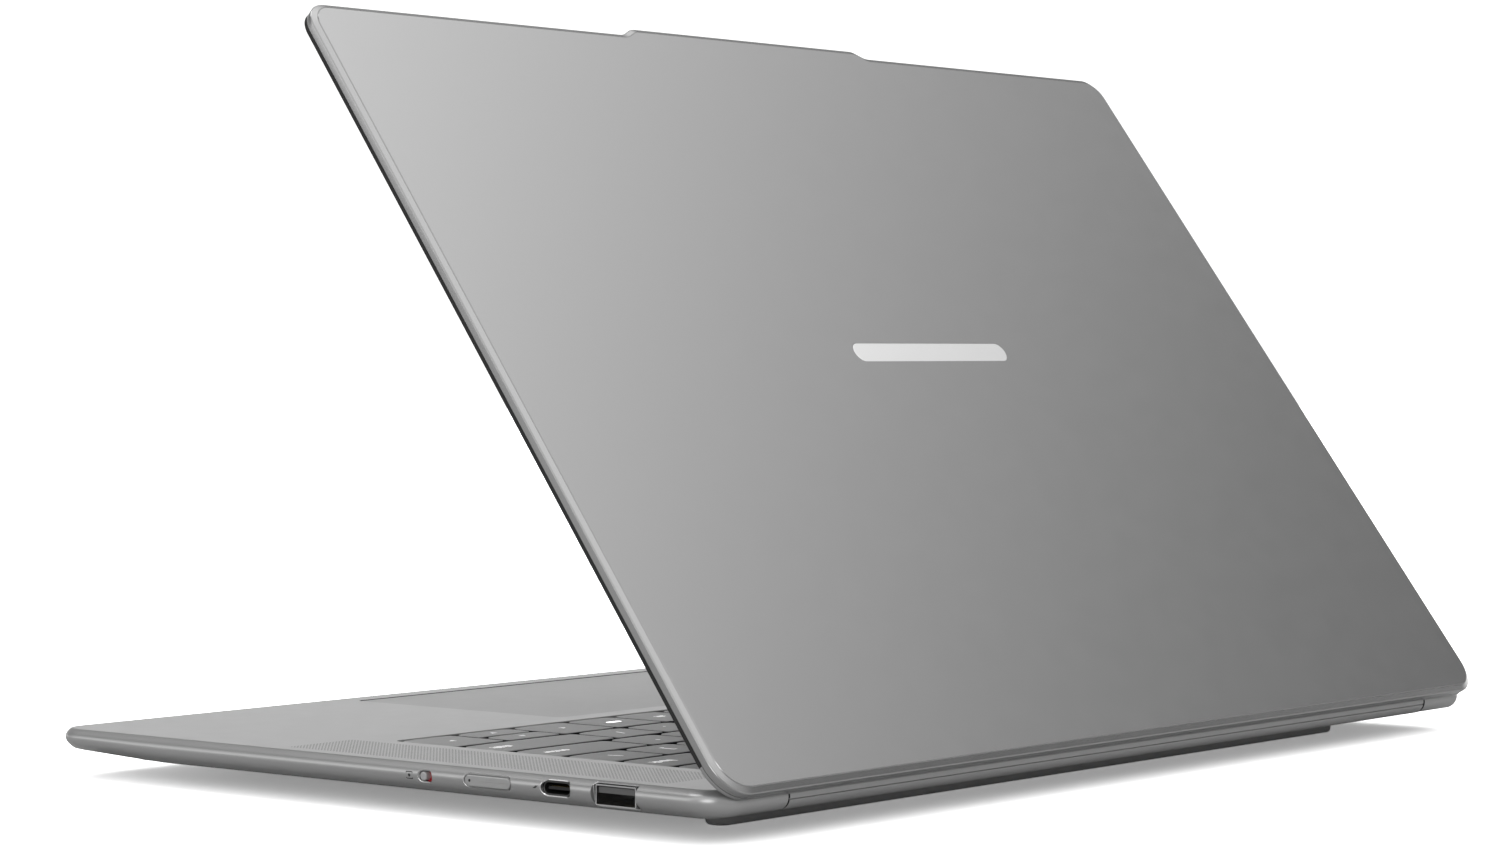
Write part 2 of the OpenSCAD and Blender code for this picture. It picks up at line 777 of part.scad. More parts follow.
// Steps of the lid's rolled edge: how far each stands in, and its depth below the outer face.
edge_steps = [[0, 1.5], [0.45, 0.8], [1, 0.4], [2, 0]];
module lid_cover() {
  color([0.62, 0.62, 0.63]) in_lid() difference() {
    union() {
      for (step = edge_steps)
        translate([0, 0, gasket_top]) linear_extrude(lid_out - step[1] - gasket_top)
          lid_outline(step[0]);
      intersection() {
        rim_ring(gasket_top + 0.1);
        below_gasket(gasket_end);
      }
    }
    translate([0, 0, gasket_top - 1]) linear_extrude(lid_out - gasket_top) lid_outline(rim_w);
    translate([0, inlay_y, lid_out - inlay_t]) linear_extrude(1) inlay_outline(gap);
  }
}

module lid_inlay() {
  color([0.9, 0.9, 0.92]) in_lid() translate([0, inlay_y, lid_out - inlay_t + 0.02])
    linear_extrude(inlay_t - 0.02) inlay_outline(0);
}

module rim_gasket() {
  color([0.05, 0.05, 0.05]) in_lid() difference() {
    rim_ring(gasket_top - gap);
    below_gasket(gasket_end - gap);
  }
}

glass_y0 = lid_back - lid_h + 1.6;
glass_y1 = -2.4;
module display_glass() {
  color([0.02, 0.02, 0.02]) in_lid()
    round_plate(-half_w + 1.6, glass_y0, half_w - 1.6, glass_y1, 5.9, lid_in + 0.2, lid_in + 0.9);
}

module display_panel() {
  color([0.03, 0.03, 0.05]) in_lid() union() {
    box(-167, -220.5, lid_in + 0.95, 167, -15, lid_in + 2.4);
    box(-100, -15.1, lid_in + 1.2, 100, -13.6, lid_in + 2);
  }
}

module camera_module() {
  color([0.1, 0.1, 0.11]) in_lid() union() {
    box(-32, -227.5, lid_in + 1.6, 32, -222, lid_in + 2.2);
    translate([0, -224.7, lid_in + 0.95]) cylinder(r = 1.6, h = 0.8, $fn = 32);
    box(-4, -227.2, lid_in + 2.1, 4, -222.2, lid_in + 2.9);
  }
}

module display_cable() {
  color([0.08, 0.08, 0.09]) in_lid() union() {
    box(-95, -13, lid_in + 1.3, -75, -3, lid_in + 1.7);
    box(-95, -12, lid_in + 1.6, -60, -8, lid_in + 2.3);
  }
}

top_case();
bottom_cover();
cover_screws();
rear_foot();
front_foot();
keyboard_plate();
main_board();
memory_drive();
wireless_card();
battery_pack();
fan_housing_left();
fan_housing_right();
fan_rotor_left();
fan_rotor_right();
heat_pipes();
fin_stacks();
speaker_left();
speaker_right();
connector_boards();
usb_c_port_right();
usb_a_port();
hdmi_port();
usb_c_ports_left();
audio_jack();
hinge_brackets();
bracket_screws();
touchpad_glass();
touchpad_module();
power_button();
shutter_slider();
function_keys();
number_keys();
backspace_key();
tab_key();
upper_letter_keys();
backslash_key();
caps_key();
home_letter_keys();
enter_key();
left_shift_key();
lower_letter_keys();
right_shift_key();
modifier_keys();
space_bar();
left_arrow_key();
up_arrow_key();
down_arrow_key();
right_arrow_key();
lid_cover();
rim_gasket();
display_glass();
display_panel();
camera_module();
display_cable();
hinge_cover();
hinge_arms();
lid_inlay();
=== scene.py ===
import json
import math

import bmesh
import bpy
from mathutils import Matrix, Vector


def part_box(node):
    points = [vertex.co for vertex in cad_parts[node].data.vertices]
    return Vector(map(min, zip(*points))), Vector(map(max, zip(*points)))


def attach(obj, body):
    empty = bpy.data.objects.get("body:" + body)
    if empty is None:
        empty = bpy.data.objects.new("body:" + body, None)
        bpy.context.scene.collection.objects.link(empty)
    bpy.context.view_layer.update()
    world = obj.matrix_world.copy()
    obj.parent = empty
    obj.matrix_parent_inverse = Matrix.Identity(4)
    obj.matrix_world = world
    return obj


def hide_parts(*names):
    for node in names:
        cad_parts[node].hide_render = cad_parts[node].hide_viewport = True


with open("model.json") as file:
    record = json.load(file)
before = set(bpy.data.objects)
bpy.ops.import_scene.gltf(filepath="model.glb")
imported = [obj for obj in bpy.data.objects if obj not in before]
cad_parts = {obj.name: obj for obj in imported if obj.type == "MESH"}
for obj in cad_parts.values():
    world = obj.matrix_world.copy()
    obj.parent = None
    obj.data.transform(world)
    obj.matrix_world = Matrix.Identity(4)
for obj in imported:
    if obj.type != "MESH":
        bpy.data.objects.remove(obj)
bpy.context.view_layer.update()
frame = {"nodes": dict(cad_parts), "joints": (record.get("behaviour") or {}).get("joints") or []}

# ---- frames: millimetres in the base and in the lid, as in the part's source ----

MM = 0.001
BODY_D = 235.4
HALF_W = 171.9
SIDE_H = 6.8
NOSE_R = 3.4
HINGE_Y = -4.9
HINGE_Z = -3.2

case_low, case_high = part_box("top_case")
BASE = Matrix.Translation((0, case_low.y + BODY_D * MM, case_high.z)) @ Matrix.Scale(MM, 4)
lid_hinge = next(j for j in frame["joints"] if j["name"] == "lid_hinge")
LID = (Matrix.Translation(lid_hinge["pos_m"])
       @ Matrix.Rotation(math.radians(lid_hinge["range_deg"][0]), 4, "X")
       @ Matrix.Scale(MM, 4))


# ---- outlines and surfaces ----

def filleted(corners, steps=8):
    """Closed outline through (x, y, radius) corners, each rounded by its radius."""
    points = []
    count = len(corners)
    for i, (x, y, r) in enumerate(corners):
        here = Vector((x, y))
        back = (Vector(corners[i - 1][:2]) - here).normalized()
        ahead = (Vector(corners[(i + 1) % count][:2]) - here).normalized()
        half = back.angle(ahead) / 2
        if r <= 0 or half > math.radians(89):
            points.append(here)
            continue
        centre = here + (back + ahead).normalized() * (r / math.sin(half))
        start = here + back * (r / math.tan(half)) - centre
        turn = math.pi - 2 * half
        if back.x * ahead.y - back.y * ahead.x > 0:
            turn = -turn
        for k in range(steps + 1):
            a = turn * k / steps
            c, s = math.cos(a), math.sin(a)
            points.append(centre + Vector((start.x * c - start.y * s, start.x * s + start.y * c)))
    return points


def rectangle(x0, y0, x1, y1, r, steps=8):
    """Rounded rectangle, counter-clockwise."""
    return filleted([(x0, y0, r), (x1, y0, r), (x1, y1, r), (x0, y1, r)], steps)


def stadium(length, height, steps=8):
    """Stadium about the origin, long along its first axis."""
    return rectangle(-length / 2, -height / 2, length / 2, height / 2, height / 2 - 0.001, steps)


def disc(r, steps=32):
    """Circle about the origin."""
    return [Vector((r * math.cos(a), r * math.sin(a)))
            for a in (2 * math.pi * k / steps for k in range(steps))]


def mitres(points):
    """Inward mitred normal of each point of a counter-clockwise outline."""
    out = []
    count = len(points)
    for i, p in enumerate(points):
        before = (p - points[i - 1]).normalized()
        after = (points[(i + 1) % count] - p).normalized()
        n0 = Vector((-before.y, before.x))
        n1 = Vector((-after.y, after.x))
        out.append((n0 + n1) / max(0.2, 1 + n0.dot(n1)))
    return out


def inset(points, distance):
    """The outline moved inward by a distance."""
    return [p + n * distance for p, n in zip(points, mitres(points))]


def level(points, z):
    """The outline as a loop at a height."""
    return [Vector((p.x, p.y, z)) for p in points]


def loft(loops, start=True, end=True, around=False):
    """Skin through loops of equal length, with flat ends, or closed round on itself."""
    count = len(loops[0])
    verts = [p for loop in loops for p in loop]
    faces = []
    spans = len(loops) if around else len(loops) - 1
    for k in range(spans):
        a, b = k * count, (k + 1) % len(loops) * count
        for i in range(count):
            j = (i + 1) % count
            faces.append((a + i, a + j, b + j, b + i))
    if start and not around:
        faces.append(tuple(reversed(range(count))))
    if end and not around:
        faces.append(tuple(range((len(loops) - 1) * count, len(loops) * count)))
    return verts, faces


def plate(outline, z0, z1, edge=0.0, low_edge=0.0):
    """Flat plate with its upper and lower edges chamfered."""
    loops = []
    if low_edge:
        loops.append(level(inset(outline, low_edge), z0))
    loops.append(level(outline, z0 + low_edge))
    loops.append(level(outline, z1 - edge))
    if edge:
        loops.append(level(inset(outline, edge * 0.3), z1 - edge * 0.3))
        loops.append(level(inset(outline, edge), z1))
    return loft(loops)


def block(x0, y0, z0, x1, y1, z1):
    return plate([Vector(p) for p in ((x0, y0), (x1, y0), (x1, y1), (x0, y1))], z0, z1)


def along_x(loops):
    """Turns loops drawn in (y, z) at a height x into loops that run along X."""
    return [[Vector((p.z, p.x, p.y)) for p in loop] for loop in loops]


def moved(points, dx, dy):
    return [p + Vector((dx, dy)) for p in points]


def mirrored(surface):
    """A surface on the other side of the laptop."""
    verts, faces = surface
    return [Vector((-p.x, p.y, p.z)) for p in verts], [tuple(reversed(f)) for f in faces]


def joined(*surfaces):
    verts, faces = [], []
    for v, f in surfaces:
        offset = len(verts)
        verts += v
        faces += [tuple(i + offset for i in face) for face in f]
    return verts, faces


def mesh_of(name, space, parts):
    """One mesh from (surface, material) parts, given in a space in millimetres."""
    mesh = bpy.data.meshes.new(name)
    verts, faces, slots, materials = [], [], [], []
    for surface, material in parts:
        if material not in materials:
            materials.append(material)
        offset = len(verts)
        verts += [space @ v for v in surface[0]]
        faces += [tuple(i + offset for i in f) for f in surface[1]]
        slots += [materials.index(material)] * len(surface[1])
    mesh.from_pydata(verts, [], faces)
    for material in materials:
        mesh.materials.append(material)
    mesh.polygons.foreach_set("material_index", slots)
    turned = bmesh.new()
    turned.from_mesh(mesh)
    bmesh.ops.recalc_face_normals(turned, faces=turned.faces)
    turned.to_mesh(mesh)
    turned.free()
    return mesh


def carve(obj, cutters):
    """Cuts each closed surface out of an object, in the space of the cutters in metres."""
    tools = []
    for i, (surface, space) in enumerate(cutters):
        mesh = mesh_of(f"cutter_{i}", space, [(surface, None)])
        tool = bpy.data.objects.new(f"cutter_{i}", mesh)
        bpy.context.scene.collection.objects.link(tool)
        cut = obj.modifiers.new(f"cut_{i}", "BOOLEAN")
        cut.operation = "DIFFERENCE"
        cut.solver = "EXACT"
        cut.object = tool
        tools.append(tool)
    depsgraph = bpy.context.evaluated_depsgraph_get()
    carved = bpy.data.meshes.new_from_object(obj.evaluated_get(depsgraph), depsgraph=depsgraph)
    obj.modifiers.clear()
    obj.data = carved
    for tool in tools:
        bpy.data.objects.remove(tool)


def piece(name, space, parts, body, stands_for=(), sharp=32, cutters=()):
    """Adds a visible piece that rides on a CAD body and may stand for CAD nodes."""
    obj = bpy.data.objects.new(name, mesh_of(name, space, parts))
    bpy.context.scene.collection.objects.link(obj)
    if cutters:
        carve(obj, [(c, space) for c in cutters])
    mesh = obj.data
    mesh.polygons.foreach_set("use_smooth", [True] * len(mesh.polygons))
    mesh.set_sharp_from_angle(angle=math.radians(sharp))
    weighted = obj.modifiers.new("weighted", "WEIGHTED_NORMAL")
    weighted.keep_sharp = True
    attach(obj, body)
    if stands_for:
        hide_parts(*stands_for)
    return obj


# ---- materials ----

class Nodes:
    """Short helpers round one material's node tree."""

    def __init__(self, tree):
        self.tree = tree
        tree.nodes.clear()

    def add(self, kind, **settings):
        node = self.tree.nodes.new(kind)
        for key, value in settings.items():
            setattr(node, key, value)
        return node

    def link(self, out, socket):
        self.tree.links.new(out, socket)

    def math(self, operation, a, b=0.0):
        node = self.add("ShaderNodeMath", operation=operation)
        for i, value in enumerate((a, b)):
            if isinstance(value, (int, float)):
                node.inputs[i].default_value = value
            else:
                self.link(value, node.inputs[i])
        return node.outputs[0]

    def span(self, value, low, high, to_low, to_high, smooth=False):
        """Maps one range of a value to another."""
        node = self.add("ShaderNodeMapRange")
        node.interpolation_type = "SMOOTHSTEP" if smooth else "LINEAR"
        self.link(value, node.inputs["Value"])
        for key, number in zip(("From Min", "From Max", "To Min", "To Max"),
                               (low, high, to_low, to_high)):
            node.inputs[key].default_value = number
        return node.outputs["Result"]

    def noise(self, where, scale, detail=2.0):
        node = self.add("ShaderNodeTexNoise")
        node.inputs["Scale"].default_value = scale
        node.inputs["Detail"].default_value = detail
        self.link(where, node.inputs["Vector"])
        return node.outputs["Fac"]

    def mix(self, factor, a, b):
        node = self.add("ShaderNodeMix", data_type="RGBA")
        self.link(factor, node.inputs["Factor"])
        for socket, value in zip((node.inputs[6], node.inputs[7]), (a, b)):
            if isinstance(value, tuple):
                socket.default_value = value
            else:
                self.link(value, socket)
        return node.outputs[2]


def grey(value, warm=0.0):
    return (value * (1 + warm), value, value * (1 - warm), 1.0)


def finish(name, colour, rough, metallic=0.0, grain=3500, depth=0.006, tint=0.02, spread=0.012,
           coat=0.0, glow=0.0, perforated=False):
    """Procedural surface: fine grain in the relief, and slow changes in colour and roughness. Its
    glow is painted light: emission that brightens a surface that is no lamp.
    """
    material = bpy.data.materials.new(name)
    material.use_nodes = True
    n = Nodes(material.node_tree)
    where = n.add("ShaderNodeTexCoord").outputs["Object"]
    shader = n.add("ShaderNodeBsdfPrincipled")
    slow = n.noise(where, 22, 3)
    fine = n.noise(where, grain, 2)
    lighter = tuple(min(1.0, c * (1 + tint)) for c in colour[:3]) + (1.0,)
    darker = tuple(c * (1 - tint) for c in colour[:3]) + (1.0,)
    tone = n.mix(n.math("ADD", n.math("MULTIPLY", slow, 0.6), n.math("MULTIPLY", fine, 0.4)),
                 darker, lighter)
    # speaker holes are painted dark, not cut: partly the dark speaker behind, partly painted
    # shade in the holes
    if perforated:
        tone = n.mix(speaker_holes(n, where), tone, grey(0.03))
    n.link(tone, shader.inputs["Base Color"])
    n.link(n.span(n.noise(where, 140, 3), 0.3, 0.7, rough - spread, rough + spread),
           shader.inputs["Roughness"])
    bump = n.add("ShaderNodeBump")
    bump.inputs["Strength"].default_value = 0.5
    bump.inputs["Distance"].default_value = depth * MM
    n.link(fine, bump.inputs["Height"])
    n.link(bump.outputs["Normal"], shader.inputs["Normal"])
    shader.inputs["Metallic"].default_value = metallic
    shader.inputs["Coat Weight"].default_value = coat
    shader.inputs["Coat Roughness"].default_value = 0.08
    shader.inputs["Emission Color"].default_value = grey(1.0)
    shader.inputs["Emission Strength"].default_value = glow
    output = n.add("ShaderNodeOutputMaterial")
    n.link(shader.outputs[0], output.inputs["Surface"])
    return material


SPEAKER_X = (143.0, 165.0)
SPEAKER_Y = (-150.0, -22.0)
HOLE_PITCH = 0.78
HOLE_R = 0.24


def speaker_holes(n, where):
    """1 inside the fine holes drilled through the deck above each speaker, 0 elsewhere. They are
    painted dark: partly the dark speaker behind them, partly painted shade inside the holes.
    """
    split = n.add("ShaderNodeSeparateXYZ")
    n.link(where, split.inputs[0])
    x = n.math("DIVIDE", n.math("ABSOLUTE", split.outputs[0]), MM)
    y = n.math("DIVIDE", n.math("SUBTRACT", split.outputs[1], BASE.translation.y), MM)
    high = n.math("GREATER_THAN", split.outputs[2], BASE.translation.z - 0.05 * MM)
    inside = high
    for value, (low, top) in ((x, SPEAKER_X), (y, SPEAKER_Y)):
        inside = n.math("MULTIPLY", inside, n.math("GREATER_THAN", value, low))
        inside = n.math("MULTIPLY", inside, n.math("LESS_THAN", value, top))
    offsets = []
    for value in (n.math("ADD", x, y), n.math("SUBTRACT", x, y)):
        share = n.math("FRACT", n.math("DIVIDE", value, HOLE_PITCH * math.sqrt(2)))
        offset = n.math("MULTIPLY", n.math("SUBTRACT", share, 0.5), HOLE_PITCH)
        offsets.append(n.math("MULTIPLY", offset, offset))
    near = n.math("LESS_THAN", n.math("ADD", *offsets), HOLE_R * HOLE_R)
    return n.math("MULTIPLY", inside, near)


ALUMINIUM = 0.54
deck_metal = finish("deck_metal", grey(ALUMINIUM), 0.32, 0.65, perforated=True)
lid_metal = finish("lid_metal", grey(ALUMINIUM), 0.25, 0.95, depth=0.001, tint=0.006)
rim_metal = finish("rim_metal", grey(0.74), 0.24, 1.0, depth=0.002)
bottom_metal = finish("bottom_metal", grey(0.30), 0.46, 0.8)
bar_plastic = finish("bar_plastic", grey(0.52), 0.42, 0.7)
key_plastic = finish("key_plastic", grey(0.5), 0.55, 0.0, grain=2500, depth=0.01)
# key print: white ink with a painted glow, emission that makes it brighter than the lamps light
# it
legend_ink_painted_glow = finish("legend_ink_painted_glow", grey(0.9), 0.5, glow=0.5)
bright_ink_painted_glow = finish("bright_ink_painted_glow", grey(0.95), 0.5, tint=0.01, glow=2.0)
dark_ink = finish("dark_ink", grey(0.03), 0.5)
pad_glass = finish("pad_glass", grey(0.42), 0.34, 0.1, depth=0.002)
screen_glass = finish("screen_glass", grey(0.008), 0.12, depth=0.0005, spread=0.03, coat=0.6)
panel_black = finish("panel_black", (0.009, 0.010, 0.013, 1.0), 0.16, depth=0.0005, spread=0.03)
rim_rubber = finish("rim_rubber", grey(0.015), 0.62, depth=0.02, grain=1800)
foot_rubber = finish("foot_rubber", grey(0.5), 0.66, depth=0.03, grain=1500)
# lid inlay: bright polished metal with a painted glow, emission that lifts it above what the
# lamps give
inlay_metal_painted_glow = finish("inlay_metal_painted_glow", grey(0.96), 0.2, 1.0, depth=0.0006, tint=0.02, glow=0.22)
# black of the keyboard plate, also used as painted shade on keycap skirts, the touchpad's gap,
# the hinge bar's ends and the hinge notch
black_and_painted_shade = finish("black_and_painted_shade", grey(0.02), 0.6, depth=0.02, grain=1500)
steel = finish("steel", grey(0.45), 0.34, 1.0, depth=0.003)
dark_steel = finish("dark_steel", grey(0.12), 0.4, 0.9, depth=0.004)
port_black = finish("port_black", grey(0.012), 0.4, depth=0.01)
tongue_grey = finish("tongue_grey", grey(0.14), 0.45, depth=0.01)
contact_gold = finish("contact_gold", (0.70, 0.52, 0.24, 1.0), 0.3, 1.0, depth=0.001)
shutter_red = finish("shutter_red", (0.45, 0.012, 0.02, 1.0), 0.45, depth=0.01)
knob_plastic = finish("knob_plastic", grey(0.55), 0.35, 0.4)
fin_metal = finish("fin_metal", grey(0.6), 0.35, 1.0)
copper = finish("copper", (0.62, 0.27, 0.13, 1.0), 0.32, 1.0, tint=0.12)
board_green = finish("board_green", (0.012, 0.06, 0.03, 1.0), 0.5, depth=0.03, grain=900)
chip_black = finish("chip_black", grey(0.025), 0.5, depth=0.02, grain=1200)
shield_metal = finish("shield_metal", grey(0.5), 0.4, 1.0)
battery_wrap = finish("battery_wrap", grey(0.03), 0.38, depth=0.03, grain=700)
fan_plastic = finish("fan_plastic", grey(0.02), 0.45)
speaker_plastic = finish("speaker_plastic", grey(0.03), 0.55)
lens_glass = finish("lens_glass", (0.01, 0.012, 0.03, 1.0), 0.06, coat=1.0, depth=0.0003,
                    spread=0.02)

CAD_FINISHES = {
    "cover_screws": dark_steel, "main_board": board_green, "memory_drive": chip_black,
    "wireless_card": shield_metal, "battery_pack": battery_wrap,
    "fan_housing_left": dark_steel, "fan_housing_right": dark_steel,
    "fan_rotor_left": fan_plastic, "fan_rotor_right": fan_plastic, "heat_pipes": copper,
    "fin_stacks": fin_metal, "speaker_left": speaker_plastic, "speaker_right": speaker_plastic,
    "connector_boards": board_green, "hinge_brackets": dark_steel, "bracket_screws": steel,
    "touchpad_module": board_green, "hinge_arms": dark_steel, "display_panel": panel_black,
    "camera_module": chip_black, "display_cable": rim_rubber, "audio_jack": port_black,
    "keyboard_plate": black_and_painted_shade,
}
for node_name, material in CAD_FINISHES.items():
    cad_mesh = frame["nodes"][node_name].data
    cad_mesh.materials.clear()
    cad_mesh.materials.append(material)


# ---- the case ----

WIDEST = -2.5        # height of the side wall's widest line, under the deck
UPPER_DRAW = 2.6     # how far the wall draws in from there up to the deck
LOWER_DRAW = 3.9     # and down to the bottom
WALL_POWER = 2.2
NOSE_FLAT = -6.3     # below this height the rear nose draws in straight
NOSE_SLOPE = 3
FRONT_BLUNT = 0.25   # share of the side wall's curve that the front edge keeps
FRONT_RISE_L = 42.0
FRONT_RISE_H = 1.5
RISE_EASE = 0.12
CORNER_R = 9.0
EDGE_BREAK = ((0.0, 0.35), (-0.02, 0.16), (-0.08, 0.03))
WALL_LEVELS = (0.03, 0.07, 0.12, 0.17, 0.23, 0.3, 0.37, 0.44, 0.52, 0.6, 0.68, 0.76, 0.83,
               0.89, 0.93, 0.96, 0.985, 1.0)


def wall_inset(z):
    """How far the side wall stands in from the widest line, at a height under the deck."""
    if z > WIDEST:
        return UPPER_DRAW * (1 - z / WIDEST) ** WALL_POWER
    return LOWER_DRAW * ((WIDEST - z) / (SIDE_H + WIDEST)) ** WALL_POWER


def nose_inset(z):
    """The same for the round nose along the rear edge."""
    drop = min(NOSE_R, abs(z - HINGE_Z))
    return (NOSE_R - math.sqrt(NOSE_R ** 2 - drop ** 2)
            + max(0, NOSE_FLAT - z) * NOSE_SLOPE)


def side_height(y):
    """Height of the side wall, which thins towards the front edge."""
    near = min(1.0, max(0.0, 1 - (y + BODY_D) / FRONT_RISE_L))
    return SIDE_H - FRONT_RISE_H * (1 + RISE_EASE) * near * near / (near + RISE_EASE)


def wall_x(y, z):
    """Where the right side wall lies, at a place along it and a height."""
    return HALF_W - wall_inset(z * SIDE_H / side_height(y))


def case_outline():
    """Case in plan at its widest line, with many points along the straight sides."""
    front, rear = -BODY_D, HINGE_Y + NOSE_R
    corners = filleted([(HALF_W, front, CORNER_R), (HALF_W, rear, CORNER_R),
                        (-HALF_W, rear, CORNER_R), (-HALF_W, front, CORNER_R)], 18)
    side_steps = 40
    points = []
    for i, p in enumerate(corners):
        points.append(p)
        q = corners[(i + 1) % len(corners)]
        if abs(p.x - q.x) < 0.01:
            points += [p.lerp(q, k / side_steps) for k in range(1, side_steps)]
    return points


def case_surface():
    """Closed outside of the case: its wall sweeps round the corners into the rear nose."""
    outline = case_outline()
    normals = [n.normalized() for n in mitres(outline)]
    depths = list(EDGE_BREAK) + [(-SIDE_H * f, 0.0) for f in WALL_LEVELS]
    loops = []
    for z, more in reversed(depths):
        loop = []
        for p, n in zip(outline, normals):
            along_y = n.y * n.y
            end = nose_inset(z) if n.y < 0 else FRONT_BLUNT * wall_inset(z)
            reach = wall_inset(z) * (1 - along_y) + end * along_y + more
            spot = p + n * reach
            loop.append(Vector((spot.x, spot.y, z * side_height(p.y) / SIDE_H)))
        loops.append(loop)
    verts, faces = loft(loops, start=False, end=False)
    count = len(outline)
    top = (len(loops) - 1) * count
    for i in range(count // 2 - 1):
        rung = (i, i + 1, count - 2 - i, count - 1 - i)
        faces.append(tuple(reversed(rung)))
        faces.append(tuple(top + k for k in rung))
    return verts, faces


WELL_X = 138.3
WELL = rectangle(-WELL_X, -139.2, WELL_X, -31.4, 2.0)
PAD = rectangle(-67.5, -227.5, 67.5, -147.5, 2.6)
PAD_GAP = 0.35
DECK_T = 2.0


def opening(outline, chamfer, depth):
    """Cutter for an opening in the deck, with a fine chamfer round its edge."""
    wide = inset(outline, -chamfer)
    return loft([level(outline, depth), level(outline, -chamfer), level(wide, 0.0),
                 level(wide, 1.0)])


def side_prism(outline, y, z, x0, x1):
    """Prism along X, with its outline drawn in (y, z)."""
    return loft(along_x([level(moved(outline, y, z), x0), level(moved(outline, y, z), x1)]))


RIM = 0.3
MOUTH_X = 171.0
SOCKET_X = 163.0
C_OPENING = stadium(9.24, 3.5)
A_OPENING = rectangle(-6.65, -2.675, 6.65, 2.675, 0.5, 4)
HDMI_OPENING = filleted([(-5.9, -2.5, 0.5), (5.9, -2.5, 0.5), (7.6, -0.9, 0.4), (7.6, 2.5, 0.5),
                         (-7.6, 2.5, 0.5), (-7.6, -0.9, 0.4)], 3)
BUTTON_OPENING = stadium(15.3, 2.95)
SLOT_OPENING = stadium(4.5, 2.6)
JACK_OPENING = disc(2.6)
USB_A_Y = -32.75
USB_C_Y = -51.0
USB_C_Z = -2.7
BUTTON_Y = -73.25
BUTTON_Z = -2.75
SHUTTER_Y = -94.2
SHUTTER_Z = -2.9
HDMI_Y = -34.0
HDMI_Z = -3.1
LEFT_C_Y = (-54.0, -68.0)
# side, outline, y, z, inner end of the opening
PORTS = {
    "usb_a_right": (1, A_OPENING, USB_A_Y, -3.175, 156.9),
    "usb_c_right": (1, C_OPENING, USB_C_Y, USB_C_Z, 162.9),
    "power_button": (1, BUTTON_OPENING, BUTTON_Y, BUTTON_Z, 160.0),
    "shutter_slot": (1, SLOT_OPENING, SHUTTER_Y, SHUTTER_Z, 168.0),
    "hdmi_left": (-1, HDMI_OPENING, HDMI_Y, HDMI_Z, 158.9),
    "usb_c_left_rear": (-1, C_OPENING, LEFT_C_Y[0], USB_C_Z, 162.9),
    "usb_c_left_front": (-1, C_OPENING, LEFT_C_Y[1], USB_C_Z, 162.9),
    "audio_left": (-1, JACK_OPENING, -83.0, -3.1, 162.9),
}


def port_cutter(side, outline, y, z, depth):
    """Cutter for a port's opening in the side wall."""
    cutter = side_prism(inset(outline, -RIM), y, z, depth, HALF_W + 1)
    return cutter if side > 0 else mirrored(cutter)


def port_rim(side, outline, y, z, depth):
    """Bright chamfer that follows the wall round a port, with the port's inner wall."""
    steps = ((-RIM - 0.02, 0.03), (-RIM + 0.04, 0.015), (0.0, -0.34))
    loops = []
    for grow, proud in steps:
        ring = moved(inset(outline, grow), y, z)
        loops.append([Vector((wall_x(p.x, p.y) + proud, p.x, p.y)) for p in ring])
    inner = moved(outline, y, z)
    back = moved(inset(outline, -RIM + 0.02), y, z)
    loops.append([Vector((depth + 0.1, p.x, p.y)) for p in inner])
    loops.append([Vector((depth + 0.1, p.x, p.y)) for p in back])
    surface = loft(loops, around=True)
    return surface if side > 0 else mirrored(surface)


INNER_X = 163.9          # inner face of the side walls
CEILING = -1.2           # inner face of the deck
UNDER = -12              # any height below the case
NOTCH_X = 146.1          # the notch for the hinge bar ends here, and the horn begins
HORN_X = 147.3           # outer end of the wall between notch and horn
horn_cylinder = side_prism(disc(2.4), HINGE_Y, HINGE_Z, HORN_X, INNER_X)
shaft_hole = side_prism(disc(1.5), HINGE_Y, HINGE_Z, 145.1, 147.8)
horn_box = block(HORN_X, HINGE_Y - 7, HINGE_Z - 2.4, INNER_X, HINGE_Y, HINGE_Z + 2.2)
EXHAUST_CELLS = 5
EXHAUST_X = 59.0
EXHAUST_CELL = 13.2
EXHAUST_RIB = 1.2
case_cutters = [
    plate(rectangle(-INNER_X, -208, INNER_X, -10.4, 4), UNDER, CEILING),
    plate(rectangle(-INNER_X, -226.5, INNER_X, -200, 4), -4.4, CEILING),
    plate(rectangle(-166.7, -209.1, 166.7, -9.9, 6), UNDER, -6.0),
    opening(WELL, 0.22, -DECK_T),
    opening(inset(PAD, -PAD_GAP), 0.15, -DECK_T),
    block(-NOTCH_X, -8.8, UNDER, NOTCH_X, 5, 5),
    horn_cylinder, mirrored(horn_cylinder), shaft_hole, mirrored(shaft_hole),
    horn_box, mirrored(horn_box),
    block(163.8, SHUTTER_Y - 5.2, SHUTTER_Z - 1.5, 170.0, SHUTTER_Y + 5.1, SHUTTER_Z + 1.5),
]
for i in range(EXHAUST_CELLS):
    vent = block(EXHAUST_X + i * EXHAUST_CELL, -12, -5.2,
                 EXHAUST_X + (i + 1) * EXHAUST_CELL - EXHAUST_RIB, -8, -1.7)
    case_cutters += [vent, mirrored(vent)]
case_cutters += [port_cutter(*port) for port in PORTS.values()]
piece("case", BASE, [(case_surface(), deck_metal)], "base", ["top_case"],
      cutters=case_cutters)
for port_name, port in PORTS.items():
    piece(f"rim_{port_name}", BASE, [(port_rim(*port), rim_metal)], "base",
          sharp=50)


# ---- the bottom ----

COVER_RIM_Z = -6.9
BELLY_DROP = 2.6
BELLY_EASE = 1.55
INTAKE_SLOTS = 13
INTAKE_X = 65
INTAKE_PITCH = 4
INTAKE_W = 1.6


